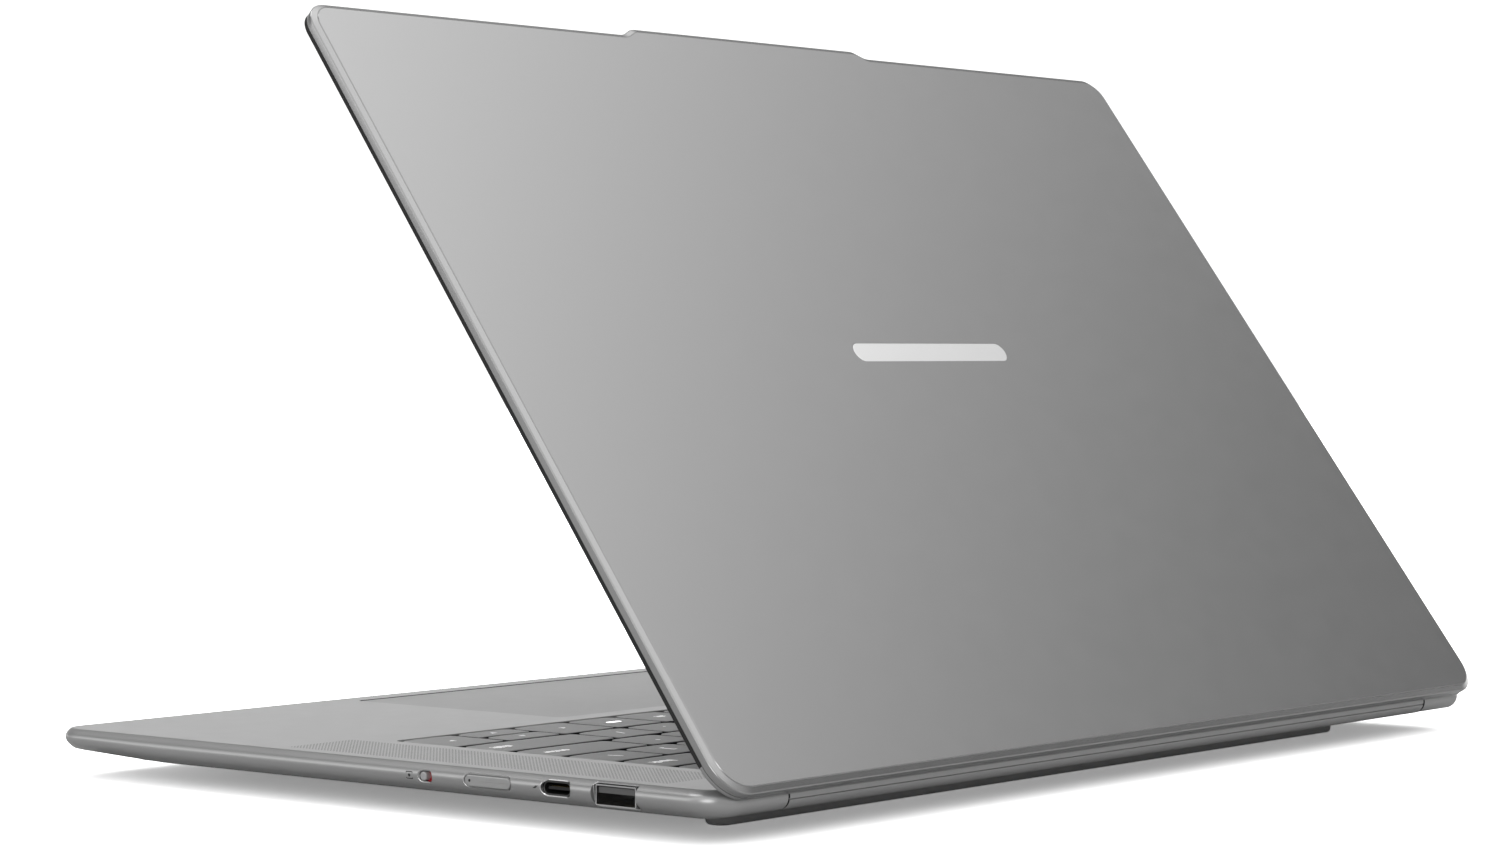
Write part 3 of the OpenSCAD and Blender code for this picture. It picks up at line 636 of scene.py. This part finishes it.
def bottom_surface():
    """Bottom cover, easing from its rim down to the flat belly."""
    rim = rectangle(-166.6, -209, 166.6, -10, 6)
    belly = rectangle(-144.9, -199, 144.9, -40, 14)
    loops = [level(rim, -6.1), level(rim, COVER_RIM_Z + 0.15)]
    steps = 8
    for k in range(steps + 1):
        t = k / steps
        ease = t * (BELLY_EASE - (BELLY_EASE - 1) * t)
        z = COVER_RIM_Z - BELLY_DROP * min(1.0, ease)
        loops.append([Vector((a.x + (b.x - a.x) * t, a.y + (b.y - a.y) * t, z))
                      for a, b in zip(rim, belly)])
    return loft(loops)


bottom_cutters = [plate(rectangle(-163, -200, 163, -14, 4), -8.2, -5.0)]
for i in range(INTAKE_SLOTS):
    x0 = INTAKE_X + INTAKE_PITCH * i
    slot_cut = block(x0, -95, UNDER, x0 + INTAKE_W, -55, -5)
    bottom_cutters += [slot_cut, mirrored(slot_cut)]
piece("bottom", BASE, [(bottom_surface(), bottom_metal)], "base", ["bottom_cover"],
      cutters=bottom_cutters)


TABLE = -13.1            # height of the table under the deck
FOOT_W = 8.0
REAR_FOOT_Y = -31.3
REAR_FOOT_L = 278.4
FRONT_FOOT_Y = -184.0
FRONT_FOOT_L = 210.0
# inset and height of each line of a foot, from its tread up into the cover
FOOT_LINES = ((1.5, TABLE), (0.75, TABLE + 0.15), (0.3, TABLE + 0.55), (0.1, TABLE + 1.2),
              (0.0, -9.4), (0.0, -8.6))


def foot_surface(length, y):
    """Rubber foot with drafted sides and a rounded tread."""
    outline = moved(stadium(length, FOOT_W, 10), 0, y)
    return loft([level(inset(outline, d), z) for d, z in FOOT_LINES])


piece("foot_rear", BASE, [(foot_surface(REAR_FOOT_L, REAR_FOOT_Y), foot_rubber)], "base",
      ["rear_foot"])
piece("foot_front", BASE, [(foot_surface(FRONT_FOOT_L, FRONT_FOOT_Y), foot_rubber)], "base",
      ["front_foot"])


# ---- keyboard ----

ROW_UNITS = 14.5
UNIT = 2 * WELL_X / ROW_UNITS
KEY_GAP = 2.0
KEY_TOP = -0.1
KEY_T = 1.2
KEY_CAP_T = 0.2
ROW_PITCH = 18.0
ROW_FRONT = -138.4
ROW_0_DEPTH = 20.2
FUNCTION_DEPTH = 12.0
HALF_SPLIT = ROW_FRONT + ROW_0_DEPTH / 2
HALF_GAP = 0.7           # half the gap between the two short arrow keys
INK_T = 0.02
LETTER_SIZE = 5.4
WORD_SIZE = 4.2
SMALL_WORD_SIZE = 3.6
WORD_MARGIN = 3.2
ROOMY_KEY = (20, 13)     # a key at least this wide and deep has its word at the side

ARROWS = {"left": 180, "right": 0, "up": 90, "down": 270}
ROWS = [
    [(1.25, "ctrl"), (1, "fn"), (1, "meta"), (1, "alt"), (5, ""), (1, "alt"), (1, "bar"),
     (1.1, "left"), (1.1, ""), (1.05, "right")],
    [(2.28, "shift")] + [(1, c) for c in "ZXCVBNM,./"] + [(2.22, "shift")],
    [(1.65, "caps")] + [(1, c) for c in "ASDFGHJKL;'"] + [(1.85, "enter")],
    [(1.4, "tab")] + [(1, c) for c in "QWERTYUIOP[]"] + [(1.1, "\\")],
    [(1, c) for c in "`1234567890-="] + [(1.5, "back")],
    [(ROW_UNITS / 15, c) for c in ["esc"] + [f"F{k}" for k in range(1, 13)] + ["ins", "del"]],
]
KEY_NODES = {
    "function_keys": [(5, 0, 14)], "number_keys": [(4, 0, 12)], "backspace_key": [(4, 13, 13)],
    "tab_key": [(3, 0, 0)], "upper_letter_keys": [(3, 1, 12)], "backslash_key": [(3, 13, 13)],
    "caps_key": [(2, 0, 0)], "home_letter_keys": [(2, 1, 11)], "enter_key": [(2, 12, 12)],
    "left_shift_key": [(1, 0, 0)], "lower_letter_keys": [(1, 1, 10)],
    "right_shift_key": [(1, 11, 11)], "modifier_keys": [(0, 0, 3), (0, 5, 6)],
    "space_bar": [(0, 4, 4)], "left_arrow_key": [(0, 7, 7)], "right_arrow_key": [(0, 9, 9)],
}


def key_outline(x0, y0, x1, y1):
    """Keycap in plan: small rear corners, and a bowed front edge with larger corners."""
    bow = min(0.7, (y1 - y0) * 0.06)
    corners = [(x0, y0 + bow, 2.0)]
    steps = 6
    for k in range(1, steps):
        u = k / steps
        corners.append((x0 + (x1 - x0) * u, y0 + bow * (2 * u - 1) ** 4, 0))
    corners += [(x1, y0 + bow, 2.0), (x1, y1, 1.2), (x0, y1, 1.2)]
    return filleted(corners, 5)


def keycap(x0, y0, x1, y1):
    """Keycap in two closed parts: its skirt, painted black as painted shade on the key's sides,
    and its top.
    """
    outline = key_outline(x0, y0, x1, y1)
    waist = KEY_TOP - KEY_CAP_T
    skirt = plate(inset(outline, 0.02), KEY_TOP - KEY_T, waist)
    top = loft([level(outline, waist), level(inset(outline, 0.05), KEY_TOP - 0.05),
                level(inset(outline, 0.2), KEY_TOP)])
    # the skirt is painted black: painted shade on the sides of the key
    return [(skirt, black_and_painted_shade), (top, key_plastic)]


def lettering(text, size, x, y, anchor):
    """Flat raised text on a keycap, as a surface in the base's space."""
    curve = bpy.data.curves.new("legend", "FONT")
    curve.body = text
    curve.size = size
    curve.align_x = anchor
    curve.align_y = "CENTER"
    curve.extrude = 0.01
    curve.offset = 0.1
    curve.resolution_u = 3
    carrier = bpy.data.objects.new("legend", curve)
    bpy.context.scene.collection.objects.link(carrier)
    depsgraph = bpy.context.evaluated_depsgraph_get()
    mesh = bpy.data.meshes.new_from_object(carrier.evaluated_get(depsgraph), depsgraph=depsgraph)
    verts = [Vector((v.co.x + x, v.co.y + y, v.co.z + KEY_TOP + 0.012)) for v in mesh.vertices]
    faces = [tuple(p.vertices) for p in mesh.polygons]
    bpy.data.objects.remove(carrier)
    bpy.data.curves.remove(curve)
    bpy.data.meshes.remove(mesh)
    return verts, faces


def arrow_mark(x, y, angle):
    """Small open triangle that points along an angle."""
    a = math.radians(angle)
    shape = [Vector((1.1, 0)), Vector((-0.7, 1.0)), Vector((-0.7, -1.0))]
    turned = [Vector((p.x * math.cos(a) - p.y * math.sin(a) + x,
                      p.x * math.sin(a) + p.y * math.cos(a) + y)) for p in shape]
    return plate(turned, KEY_TOP, KEY_TOP + INK_T)


def legend(text, x0, y0, x1, y1):
    """The mark on one key, and its ink; the bright ink has the strongest painted glow."""
    x, y = (x0 + x1) / 2, (y0 + y1) / 2
    if text in ARROWS:
        return arrow_mark(x, y, ARROWS[text]), legend_ink_painted_glow
    if text == "bar":
        return plate(moved(stadium(5.4, 1.9, 4), x, y), KEY_TOP, KEY_TOP + INK_T), bright_ink_painted_glow
    if len(text) == 1:
        return lettering(text, LETTER_SIZE, x, y, "CENTER"), legend_ink_painted_glow
    if x1 - x0 < ROOMY_KEY[0] or y1 - y0 < ROOMY_KEY[1]:
        return lettering(text, SMALL_WORD_SIZE, x, y, "CENTER"), legend_ink_painted_glow
    if x > 0:
        return lettering(text, WORD_SIZE, x1 - WORD_MARGIN, y, "RIGHT"), legend_ink_painted_glow
    return lettering(text, WORD_SIZE, x0 + WORD_MARGIN, y, "LEFT"), legend_ink_painted_glow


def key_spans(row, first, last):
    """Corners and legends of the keys of one row."""
    left = -WELL_X
    y0 = ROW_FRONT
    if row > 0:
        y0 = ROW_FRONT + ROW_0_DEPTH + KEY_GAP + (row - 1) * ROW_PITCH
    depth = {0: ROW_0_DEPTH, 5: FUNCTION_DEPTH}.get(row, ROW_PITCH - KEY_GAP)
    for i, (width, text) in enumerate(ROWS[row]):
        if first <= i <= last:
            yield text, left + KEY_GAP / 2, y0, left + width * UNIT - KEY_GAP / 2, y0 + depth
        left += width * UNIT


def key_piece(node_name, spans):
    """All the keycaps of one node, with their legends, as one piece."""
    parts = []
    for text, *corners in spans:
        parts += keycap(*corners)
        if text:
            parts.append(legend(text, *corners))
    piece(f"cap_{node_name}", BASE, parts, node_name, [node_name], sharp=40)


for key_node, runs in KEY_NODES.items():
    key_piece(key_node, [span for run in runs for span in key_spans(*run)])
_, arrow_x0, _, arrow_x1, _ = next(key_spans(0, 8, 8))
key_piece("down_arrow_key",
          [("down", arrow_x0, ROW_FRONT, arrow_x1, HALF_SPLIT - HALF_GAP)])
key_piece("up_arrow_key",
          [("up", arrow_x0, HALF_SPLIT + HALF_GAP, arrow_x1, ROW_FRONT + ROW_0_DEPTH)])

# dark liner round the touchpad: painted shade in the gap between pad and deck
LINER_LINES = ((-0.05, -1.1), (-0.05, -0.14), (0.1, -0.14), (0.1, -1.1))
pad_hole = inset(PAD, -PAD_GAP)
pad_liner = loft([level(inset(pad_hole, d), z) for d, z in LINER_LINES], around=True)
piece("pad_liner", BASE, [(pad_liner, black_and_painted_shade)], "base")
piece("pad_surface", BASE, [(plate(PAD, -0.9, -0.24, edge=0.1), pad_glass)], "touchpad",
      ["touchpad_glass"])


# ---- sockets and side controls ----

def socket_shell(outline, y, z, wall, depth):
    """Drawn metal cup: its outside, its lip and its inside."""
    outer = moved(outline, y, z)
    inner = moved(inset(outline, wall), y, z)
    return loft(along_x([level(inner, depth + 1), level(inner, MOUTH_X), level(outer, MOUTH_X),
                         level(outer, depth)]))


def tongue(half_y, z0, z1, y, x0, x1):
    """Flat tongue inside a socket."""
    return block(x0, y - half_y, z0, x1, y + half_y, z1)


def contacts(count, pitch, width, y, z0, z1, x0, x1):
    """Row of contact strips on a tongue."""
    strips = []
    for i in range(count):
        at = y + (i - (count - 1) / 2) * pitch
        strips.append(block(x0, at - width / 2, z0, x1, at + width / 2, z1))
    return joined(*strips)


def usb_c(y, z=USB_C_Z):
    """USB-C socket on the right side: shell, back wall, tongue and contacts."""
    return [
        (socket_shell(stadium(8.94, 3.26), y, z, 0.3, SOCKET_X), dark_steel),
        (side_prism(stadium(8.3, 2.6), y, z, SOCKET_X + 1.0, SOCKET_X + 1.4), port_black),
        (tongue(3.35, z - 0.35, z + 0.35, y, 163.5, 170.4), port_black),
        (contacts(10, 0.62, 0.3, y, z + 0.35, z + 0.38, 165.5, 169.8), contact_gold),
    ]


def mirrored_parts(parts):
    """The parts of a piece on the other side of the laptop."""
    return [(mirrored(surface), material) for surface, material in parts]


piece("socket_usb_c_right", BASE, usb_c(USB_C_Y), "base", ["usb_c_port_right"])
piece("socket_usb_c_left", BASE, mirrored_parts(usb_c(LEFT_C_Y[0]) + usb_c(LEFT_C_Y[1])),
      "base", ["usb_c_ports_left"])
usb_a_outline = rectangle(-6.15, -2.45, 6.45, 2.5, 0.4, 4)
piece("socket_usb_a_right", BASE, [
    (socket_shell(usb_a_outline, USB_A_Y, -3.2, 0.3, 157.0), rim_metal),
    (side_prism(inset(usb_a_outline, 0.32), USB_A_Y, -3.2, 158.0, 158.4), port_black),
    (tongue(5.55, -2.7, -1.3, USB_A_Y, 157.5, 170.5), tongue_grey),
    (contacts(4, 2.3, 1.1, USB_A_Y, -2.78, -2.7, 160.0, 169.2), contact_gold),
], "base", ["usb_a_port"])
hdmi_outline = inset(HDMI_OPENING, 0.1)
piece("socket_hdmi_left", BASE, mirrored_parts([
    (socket_shell(hdmi_outline, HDMI_Y, HDMI_Z, 0.4, 159.0), steel),
    (tongue(5.5, -3.5, -2.5, HDMI_Y, 159.5, 170.0), port_black),
    (contacts(10, 1.0, 0.5, HDMI_Y, -2.5, -2.46, 161.0, 169.4), contact_gold),
]), "base", ["hdmi_port"])

def cap_along_x(outline, y, z, steps):
    """Prism along X that draws in by an inset at each x, as (inset, x) steps."""
    return loft(along_x([level(moved(inset(outline, d), y, z), x) for d, x in steps]))


BUTTON_FACE = 171.8
BUTTON_STEPS = ((0.0, 163.5), (0.0, BUTTON_FACE - 0.3), (0.1, BUTTON_FACE - 0.1),
                (0.32, BUTTON_FACE))
BUTTON_LAMP_Y = BUTTON_Y - 5.85
piece("button_power", BASE, [
    (cap_along_x(stadium(15.1, 2.75, 10), BUTTON_Y, BUTTON_Z, BUTTON_STEPS), deck_metal),
    (side_prism(stadium(19.0, 2.75, 10), BUTTON_Y, BUTTON_Z, 162.6, 163.6), deck_metal),
    (side_prism(disc(0.36, 16), BUTTON_LAMP_Y, BUTTON_Z, BUTTON_FACE - 0.1,
                BUTTON_FACE + 0.02), dark_ink),
], "power_button", ["power_button"])

KNOB_Y = SHUTTER_Y - 0.98
KNOB_STEPS = ((0.0, 169.4), (0.0, 171.1), (0.12, 171.32), (0.4, 171.4))
piece("slider_shutter", BASE, [
    (cap_along_x(disc(1.15), KNOB_Y, SHUTTER_Z, KNOB_STEPS), knob_plastic),
    (block(169.0, SHUTTER_Y - 5, SHUTTER_Z - 1.4, 169.9, KNOB_Y, SHUTTER_Z + 1.4), port_black),
    (block(169.0, KNOB_Y, SHUTTER_Z - 1.4, 169.9, SHUTTER_Y + 3, SHUTTER_Z + 1.4), shutter_red),
    (block(156.1, SHUTTER_Y - 2, SHUTTER_Z - 0.8, 169.1, SHUTTER_Y, SHUTTER_Z + 0.8), port_black),
], "shutter_slider", ["shutter_slider"])


MARK_ROOT = -0.05
MARK_PROUD = 0.012
BOLT_Y = -57.3
CAMERA_MARK_Y = -99.5


def on_wall(ring, proud):
    """A (y, z) outline laid on the right side wall, and how far it stands proud."""
    return [Vector((wall_x(p.x, p.y) + proud, p.x, p.y)) for p in ring]


def wall_mark(outline, y, z):
    """Thin printed mark that lies on the right side wall."""
    ring = moved(outline, y, z)
    return loft([on_wall(ring, proud) for proud in (MARK_ROOT, MARK_PROUD)])


def frame_mark(outline, thickness, y, z):
    """Printed outline: a ring that lies on the right side wall."""
    steps = ((0.0, MARK_ROOT), (0.0, MARK_PROUD), (thickness, MARK_PROUD), (thickness, MARK_ROOT))
    return loft([on_wall(moved(inset(outline, grow), y, z), proud) for grow, proud in steps],
                around=True)


bolt = [Vector(p) for p in ((0.45, 1.55), (-0.95, -0.3), (-0.1, -0.3), (-0.5, -1.55),
                            (0.95, 0.35), (0.1, 0.35))]
piece("mark_bolt", BASE, [(wall_mark(bolt, BOLT_Y, USB_C_Z), dark_ink)], "base")
camera_frame = rectangle(-1.15, -0.95, 1.15, 0.95, 0.3, 3)
piece("mark_camera", BASE, [
    (frame_mark(camera_frame, 0.22, CAMERA_MARK_Y, SHUTTER_Z), dark_ink),
    (wall_mark(disc(0.4, 12), CAMERA_MARK_Y, SHUTTER_Z), dark_ink),
], "base")


# ---- the lid ----

LID_BACK = 2.1                  # lower edge of the lid, behind the hinge axis
LID_TOP = LID_BACK - 232.58
LID_IN = 3.53
LID_OUT = 7.63
GASKET_TOP = LID_IN + 1.2
GASKET_END = LID_BACK - 9.7     # here the gasket gives way to the metal chin
CHIN_BACK = 0.13                # lets the chin clear the case when the lid lies flat
TAB_TOP = LID_TOP - 2.4
TAB_X = 48.6
TAB_FOOT_X = 53.16


def lid_outline():
    """Lid in plan, with the camera tab in the middle of its upper edge."""
    half = [(-HALF_W, LID_TOP, 7.5), (-TAB_FOOT_X, LID_TOP, 6), (-TAB_X, TAB_TOP, 6)]
    return filleted([(HALF_W, LID_BACK, 9.5), (-HALF_W, LID_BACK, 9.5)] + half
                    + [(-x, y, r) for x, y, r in reversed(half)], 14)


LID_EDGE = lid_outline()
INLAY_Y = LID_BACK - 123.8
inlay_outline = moved(stadium(67.6, 6.0, 16), 0, INLAY_Y)

# inset from the edge and height of each line of the lid's rolled rim, from inside to outside
LID_RIM = ((1.3, LID_OUT - 1.0), (1.3, GASKET_TOP), (0.3, GASKET_TOP), (0.17, GASKET_TOP + 0.1),
           (0.0, 6.5), (0.02, 6.62), (0.08, 6.74), (0.18, 6.84), (0.32, 6.91), (1.5, 7.46),
           (1.56, 7.42), (1.66, 7.42), (1.78, LID_OUT), (2.2, LID_OUT))
lid_surface = loft([level(inset(LID_EDGE, d), z) for d, z in LID_RIM])
piece("lid_shell", LID, [(lid_surface, lid_metal)], "lid", ["lid_cover"],
      sharp=50, cutters=[plate(inset(inlay_outline, -0.08), LID_OUT - 0.3, LID_OUT + 1)])
inlay_plate = plate(inlay_outline, LID_OUT - 0.28, LID_OUT + 0.01, edge=0.1)
piece("inlay", LID, [(inlay_plate, inlay_metal_painted_glow)], "lid", ["lid_inlay"])


def rim_ring(face_z):
    """Low ring under the lid's rim, as the gasket or as the metal chin."""
    root = GASKET_TOP - 0.05
    section = ((1.3, root), (1.3, face_z), (0.35, face_z), (0.2, face_z + 0.15), (0.2, root))
    return loft([level(inset(LID_EDGE, d), z) for d, z in section], around=True)


piece("gasket", LID, [(rim_ring(LID_IN), rim_rubber)], "lid", ["rim_gasket"],
      cutters=[block(-HALF_W - 1, GASKET_END - 0.05, 0, HALF_W + 1, LID_BACK + 1, LID_OUT)])
piece("lid_chin", LID, [(rim_ring(LID_IN + CHIN_BACK), lid_metal)], "lid",
      sharp=50, cutters=[block(-HALF_W - 1, TAB_TOP - 1, 0, HALF_W + 1, GASKET_END, LID_OUT)])

GLASS_Z = LID_IN + 0.2
GLASS_X = 170.3
glass = filleted([(GLASS_X, -2.4, 4), (-GLASS_X, -2.4, 4), (-GLASS_X, LID_TOP + 1.6, 6),
                  (GLASS_X, LID_TOP + 1.6, 6)])
active = rectangle(-164.8, -222.2, 164.8, -16.2, 1.2, 4)
lens = moved(disc(1.5), 0, -226.0)
piece("screen", LID, [
    (plate(glass, GLASS_Z, GLASS_Z + 0.7, low_edge=0.15), screen_glass),
    (plate(active, GLASS_Z - 0.012, GLASS_Z + 0.1), panel_black),
    (plate(lens, GLASS_Z - 0.02, GLASS_Z + 0.1), lens_glass),
], "lid", ["display_glass"])

BAR_HALF = 145.5
BAR_BREAK = 0.25
BARREL = (124, 360 + 54, 56)    # first and last angle of the barrel, and its steps
GROOVE_AT = 41.5
GROOVE_DEEP = NOSE_R - 0.35
GROOVE = ((-2.6, NOSE_R), (-0.9, GROOVE_DEEP), (0.9, GROOVE_DEEP), (2.6, NOSE_R))
GROOVE_CLEAR = 3.2


def polar(degrees, r):
    a = math.radians(degrees)
    return r * Vector((math.cos(a), math.sin(a)))


def bar_profile():
    """Hinge bar in (y, z): a neck under the lid, the round barrel and a fine groove."""
    points = [Vector((-1.9, LID_IN + 0.3)), Vector((-1.9, 2.82))]
    first, last, steps = BARREL
    angles = [first + (last - first) * k / steps for k in range(1, steps + 1)]
    points += [polar(a, NOSE_R) for a in angles if a - 360 < GROOVE_AT - GROOVE_CLEAR]
    points += [polar(GROOVE_AT + edge, r) for edge, r in GROOVE]
    points += [polar(a, NOSE_R) for a in angles if a - 360 > GROOVE_AT + GROOVE_CLEAR]
    return points + [Vector((1.4, 3.2)), Vector((1.4, LID_IN + 0.3))]


bar = bar_profile()
bar_end = inset(bar, BAR_BREAK)
bar_loops = [level(bar_end, -BAR_HALF), level(bar, -BAR_HALF + BAR_BREAK),
             level(bar, BAR_HALF - BAR_BREAK), level(bar_end, BAR_HALF)]
# the bar's end caps are painted black: painted shade in the seams at the bar's ends
bar_cap = loft(along_x([level(inset(bar, 0.07), BAR_HALF - 0.1),
                        level(inset(bar, 0.07), BAR_HALF + 0.1)]))
piece("hinge_bar", LID, [(loft(along_x(bar_loops)), bar_plastic), (bar_cap, black_and_painted_shade),
                         (mirrored(bar_cap), black_and_painted_shade)], "lid", ["hinge_cover"],
      sharp=30)
# black ring on the notch's end faces round the hinge axis: painted shade in the seam beside the
# bar's ends
LINING_LINES = ((1.7, 145.97), (1.7, 146.15), (3.36, 146.15), (3.36, 145.97))
ring_loops = [level(moved(disc(r), HINGE_Y, HINGE_Z), x) for r, x in LINING_LINES]
notch_ring = loft(along_x(ring_loops), around=True)
piece("notch_lining", BASE, [(notch_ring, black_and_painted_shade), (mirrored(notch_ring), black_and_painted_shade)],
      "base")


# ---- stage, light and camera ----

FLOOR_R = 8000
FLOOR_WHITE = 2.4        # the floor's colour to the camera
FLOOR_BOUNCE = 0.5       # and to the light it throws back
FLOOR_LIFT = 0.26        # softens the shadow that the camera sees
BACKDROP_WHITE = 1.2
ROOM_BASE = 0.1
ROOM_TOP = 1.26
ROOM_SIDE = 0.28
ROOM_BACKDROP = 1.5
# direction, spread in degrees and strength of the room's four soft sources
ROOM_SOURCES = (((0.03, -0.42, 0.9), 18, 2.6), ((0.72, 0.42, 0.25), 24, 2.0),
                ((0.66, -0.73, 0.15), 24, 0.45), ((-0.2, 0.97, 0.1), 45, 0.35))
# the part of a direction's x, y or z over which each light of the room comes or goes
TOP_Z = (0.25, 0.8)
TOP_X = (-0.94, -0.62)
TOP_Y = (-0.7, 0.0)
TOP_Y_LEAST = 0.15
TOP_FALL_X = (-0.5, 0.3)
TOP_FALL_LEAST = 0.42
SIDE_X = (0.2, 0.9)
BACKDROP_Z = (0.0, 0.35)
BACKDROP_AIM = (-0.76, -0.65)
BACKDROP_NEAR = (0.2, 0.85)


def stage_floor():
    """Pale round floor; the camera sees it lighter than the laptop does."""
    rim = disc(FLOOR_R, 96)
    mesh = mesh_of("floor", Matrix.Scale(MM, 4), [(plate(rim, -2, 0), None)])
    floor = bpy.data.objects.new("floor", mesh)
    bpy.context.scene.collection.objects.link(floor)
    material = bpy.data.materials.new("floor_paper")
    material.use_nodes = True
    n = Nodes(material.node_tree)
    where = n.add("ShaderNodeTexCoord").outputs["Object"]
    seen = n.add("ShaderNodeLightPath").outputs["Is Camera Ray"]
    grain = n.span(n.noise(where, 300), 0, 1, 0.99, 1.0)
    paper = n.add("ShaderNodeBsdfDiffuse")
    colour = n.mix(seen, grey(FLOOR_BOUNCE), grey(FLOOR_WHITE))
    shaded = n.add("ShaderNodeMix", data_type="RGBA", blend_type="MULTIPLY")
    shaded.inputs["Factor"].default_value = 1.0
    n.link(colour, shaded.inputs[6])
    n.link(grain, shaded.inputs[7])
    n.link(shaded.outputs[2], paper.inputs["Color"])
    lift = n.add("ShaderNodeEmission")
    n.link(n.span(seen, 0, 1, 0.0, FLOOR_LIFT), lift.inputs["Strength"])
    lifted = n.add("ShaderNodeAddShader")
    n.link(paper.outputs[0], lifted.inputs[0])
    n.link(lift.outputs[0], lifted.inputs[1])
    output = n.add("ShaderNodeOutputMaterial")
    n.link(lifted.outputs[0], output.inputs["Surface"])
    mesh.materials.clear()
    mesh.materials.append(material)


def source_glow(n, split, aim, spread, strength):
    """Round soft source that the room shows in one direction."""
    aim = Vector(aim).normalized()
    shares = [n.math("MULTIPLY", out, part) for out, part in zip(split.outputs, aim)]
    nearness = n.math("ADD", n.math("ADD", shares[0], shares[1]), shares[2])
    return n.span(nearness, math.cos(math.radians(spread)), 1.0, 0.0, strength, smooth=True)


def soft_world():
    """White to the camera; as light, a plain room that is brighter above and to the rear."""
    world = bpy.data.worlds.new("studio")
    world.use_nodes = True
    bpy.context.scene.world = world
    n = Nodes(world.node_tree)
    direction = n.add("ShaderNodeTexCoord").outputs["Generated"]
    split = n.add("ShaderNodeSeparateXYZ")
    n.link(direction, split.inputs[0])
    x, y, z = split.outputs
    above = n.span(z, *TOP_Z, 0.0, 1.0, smooth=True)
    across = n.span(x, *TOP_X, 0.0, ROOM_TOP)
    behind = n.span(y, *TOP_Y, TOP_Y_LEAST, 1.0, smooth=True)
    fall = n.span(x, *TOP_FALL_X, 1.0, TOP_FALL_LEAST, smooth=True)
    overhead = n.math("MULTIPLY", n.math("MULTIPLY", above, fall),
                      n.math("MULTIPLY", across, behind))
    right = n.span(x, *SIDE_X, 0.0, ROOM_SIDE, smooth=True)
    ahead = n.math("ADD", n.math("MULTIPLY", x, BACKDROP_AIM[0]),
                   n.math("MULTIPLY", y, BACKDROP_AIM[1]))
    low = n.span(z, *BACKDROP_Z, 1.0, 0.0, smooth=True)
    backdrop_glow = n.math("MULTIPLY", low,
                           n.span(ahead, *BACKDROP_NEAR, 0.0, ROOM_BACKDROP, smooth=True))
    strength = n.math("ADD", n.math("ADD", overhead, right),
                      n.math("ADD", backdrop_glow, ROOM_BASE))
    for source in ROOM_SOURCES:
        strength = n.math("ADD", strength, source_glow(n, split, *source))
    seen = n.add("ShaderNodeLightPath").outputs["Is Camera Ray"]
    backdrop = n.add("ShaderNodeBackground")
    backdrop.inputs["Color"].default_value = grey(1.0)
    backdrop.inputs["Strength"].default_value = BACKDROP_WHITE
    room = n.add("ShaderNodeBackground")
    room.inputs["Color"].default_value = grey(1.0)
    n.link(strength, room.inputs["Strength"])
    choice = n.add("ShaderNodeMixShader")
    n.link(seen, choice.inputs[0])
    n.link(room.outputs[0], choice.inputs[1])
    n.link(backdrop.outputs[0], choice.inputs[2])
    output = n.add("ShaderNodeOutputWorld")
    n.link(choice.outputs[0], output.inputs["Surface"])


def softbox(name, place, aim, width, height, power):
    """Rectangular lamp at a place, turned to an aim."""
    light = bpy.data.lights.new(name, "AREA")
    light.shape = "RECTANGLE"
    light.size = width
    light.size_y = height
    light.energy = power
    lamp = bpy.data.objects.new(name, light)
    lamp.location = place
    lamp.rotation_euler = (Vector(aim) - Vector(place)).to_track_quat("-Z", "Y").to_euler()
    bpy.context.scene.collection.objects.link(lamp)


stage_floor()
soft_world()
softbox("side_light", (1.5, -1.1, 0.7), (0.1, -0.05, 0.0), 1.6, 1.2, 2.4)
softbox("top_light", (-0.1, 0.5, 1.7), (0, 0, 0.05), 1.4, 1.0, 0.6)

LENS = 85.85
SENSOR = 36
CAMERA_AT = Vector((779.305, 553.707, 109.598)) * MM
YAW, PITCH, ROLL = (math.radians(a) for a in (49.801, 1.010, -0.225))


def photo_camera():
    """Camera that looks along its yaw and pitch, with a small roll."""
    ahead = Vector((-math.sin(YAW) * math.cos(PITCH), -math.cos(YAW) * math.cos(PITCH),
                    -math.sin(PITCH)))
    flat_right = Vector((-math.cos(YAW), math.sin(YAW), 0))
    flat_up = flat_right.cross(ahead)
    right = flat_right * math.cos(ROLL) + flat_up * math.sin(ROLL)
    up = flat_up * math.cos(ROLL) - flat_right * math.sin(ROLL)
    data = bpy.data.cameras.new("camera")
    data.lens = LENS
    data.sensor_width = SENSOR
    data.clip_start = 0.02
    data.clip_end = 60
    camera = bpy.data.objects.new("camera", data)
    camera.matrix_world = Matrix.Translation(CAMERA_AT) @ Matrix(
        (right, up, -ahead)).transposed().to_4x4()
    bpy.context.scene.collection.objects.link(camera)
    bpy.context.scene.camera = camera


photo_camera()
view = bpy.context.scene.view_settings
view.view_transform = "Standard"
view.look = "None"
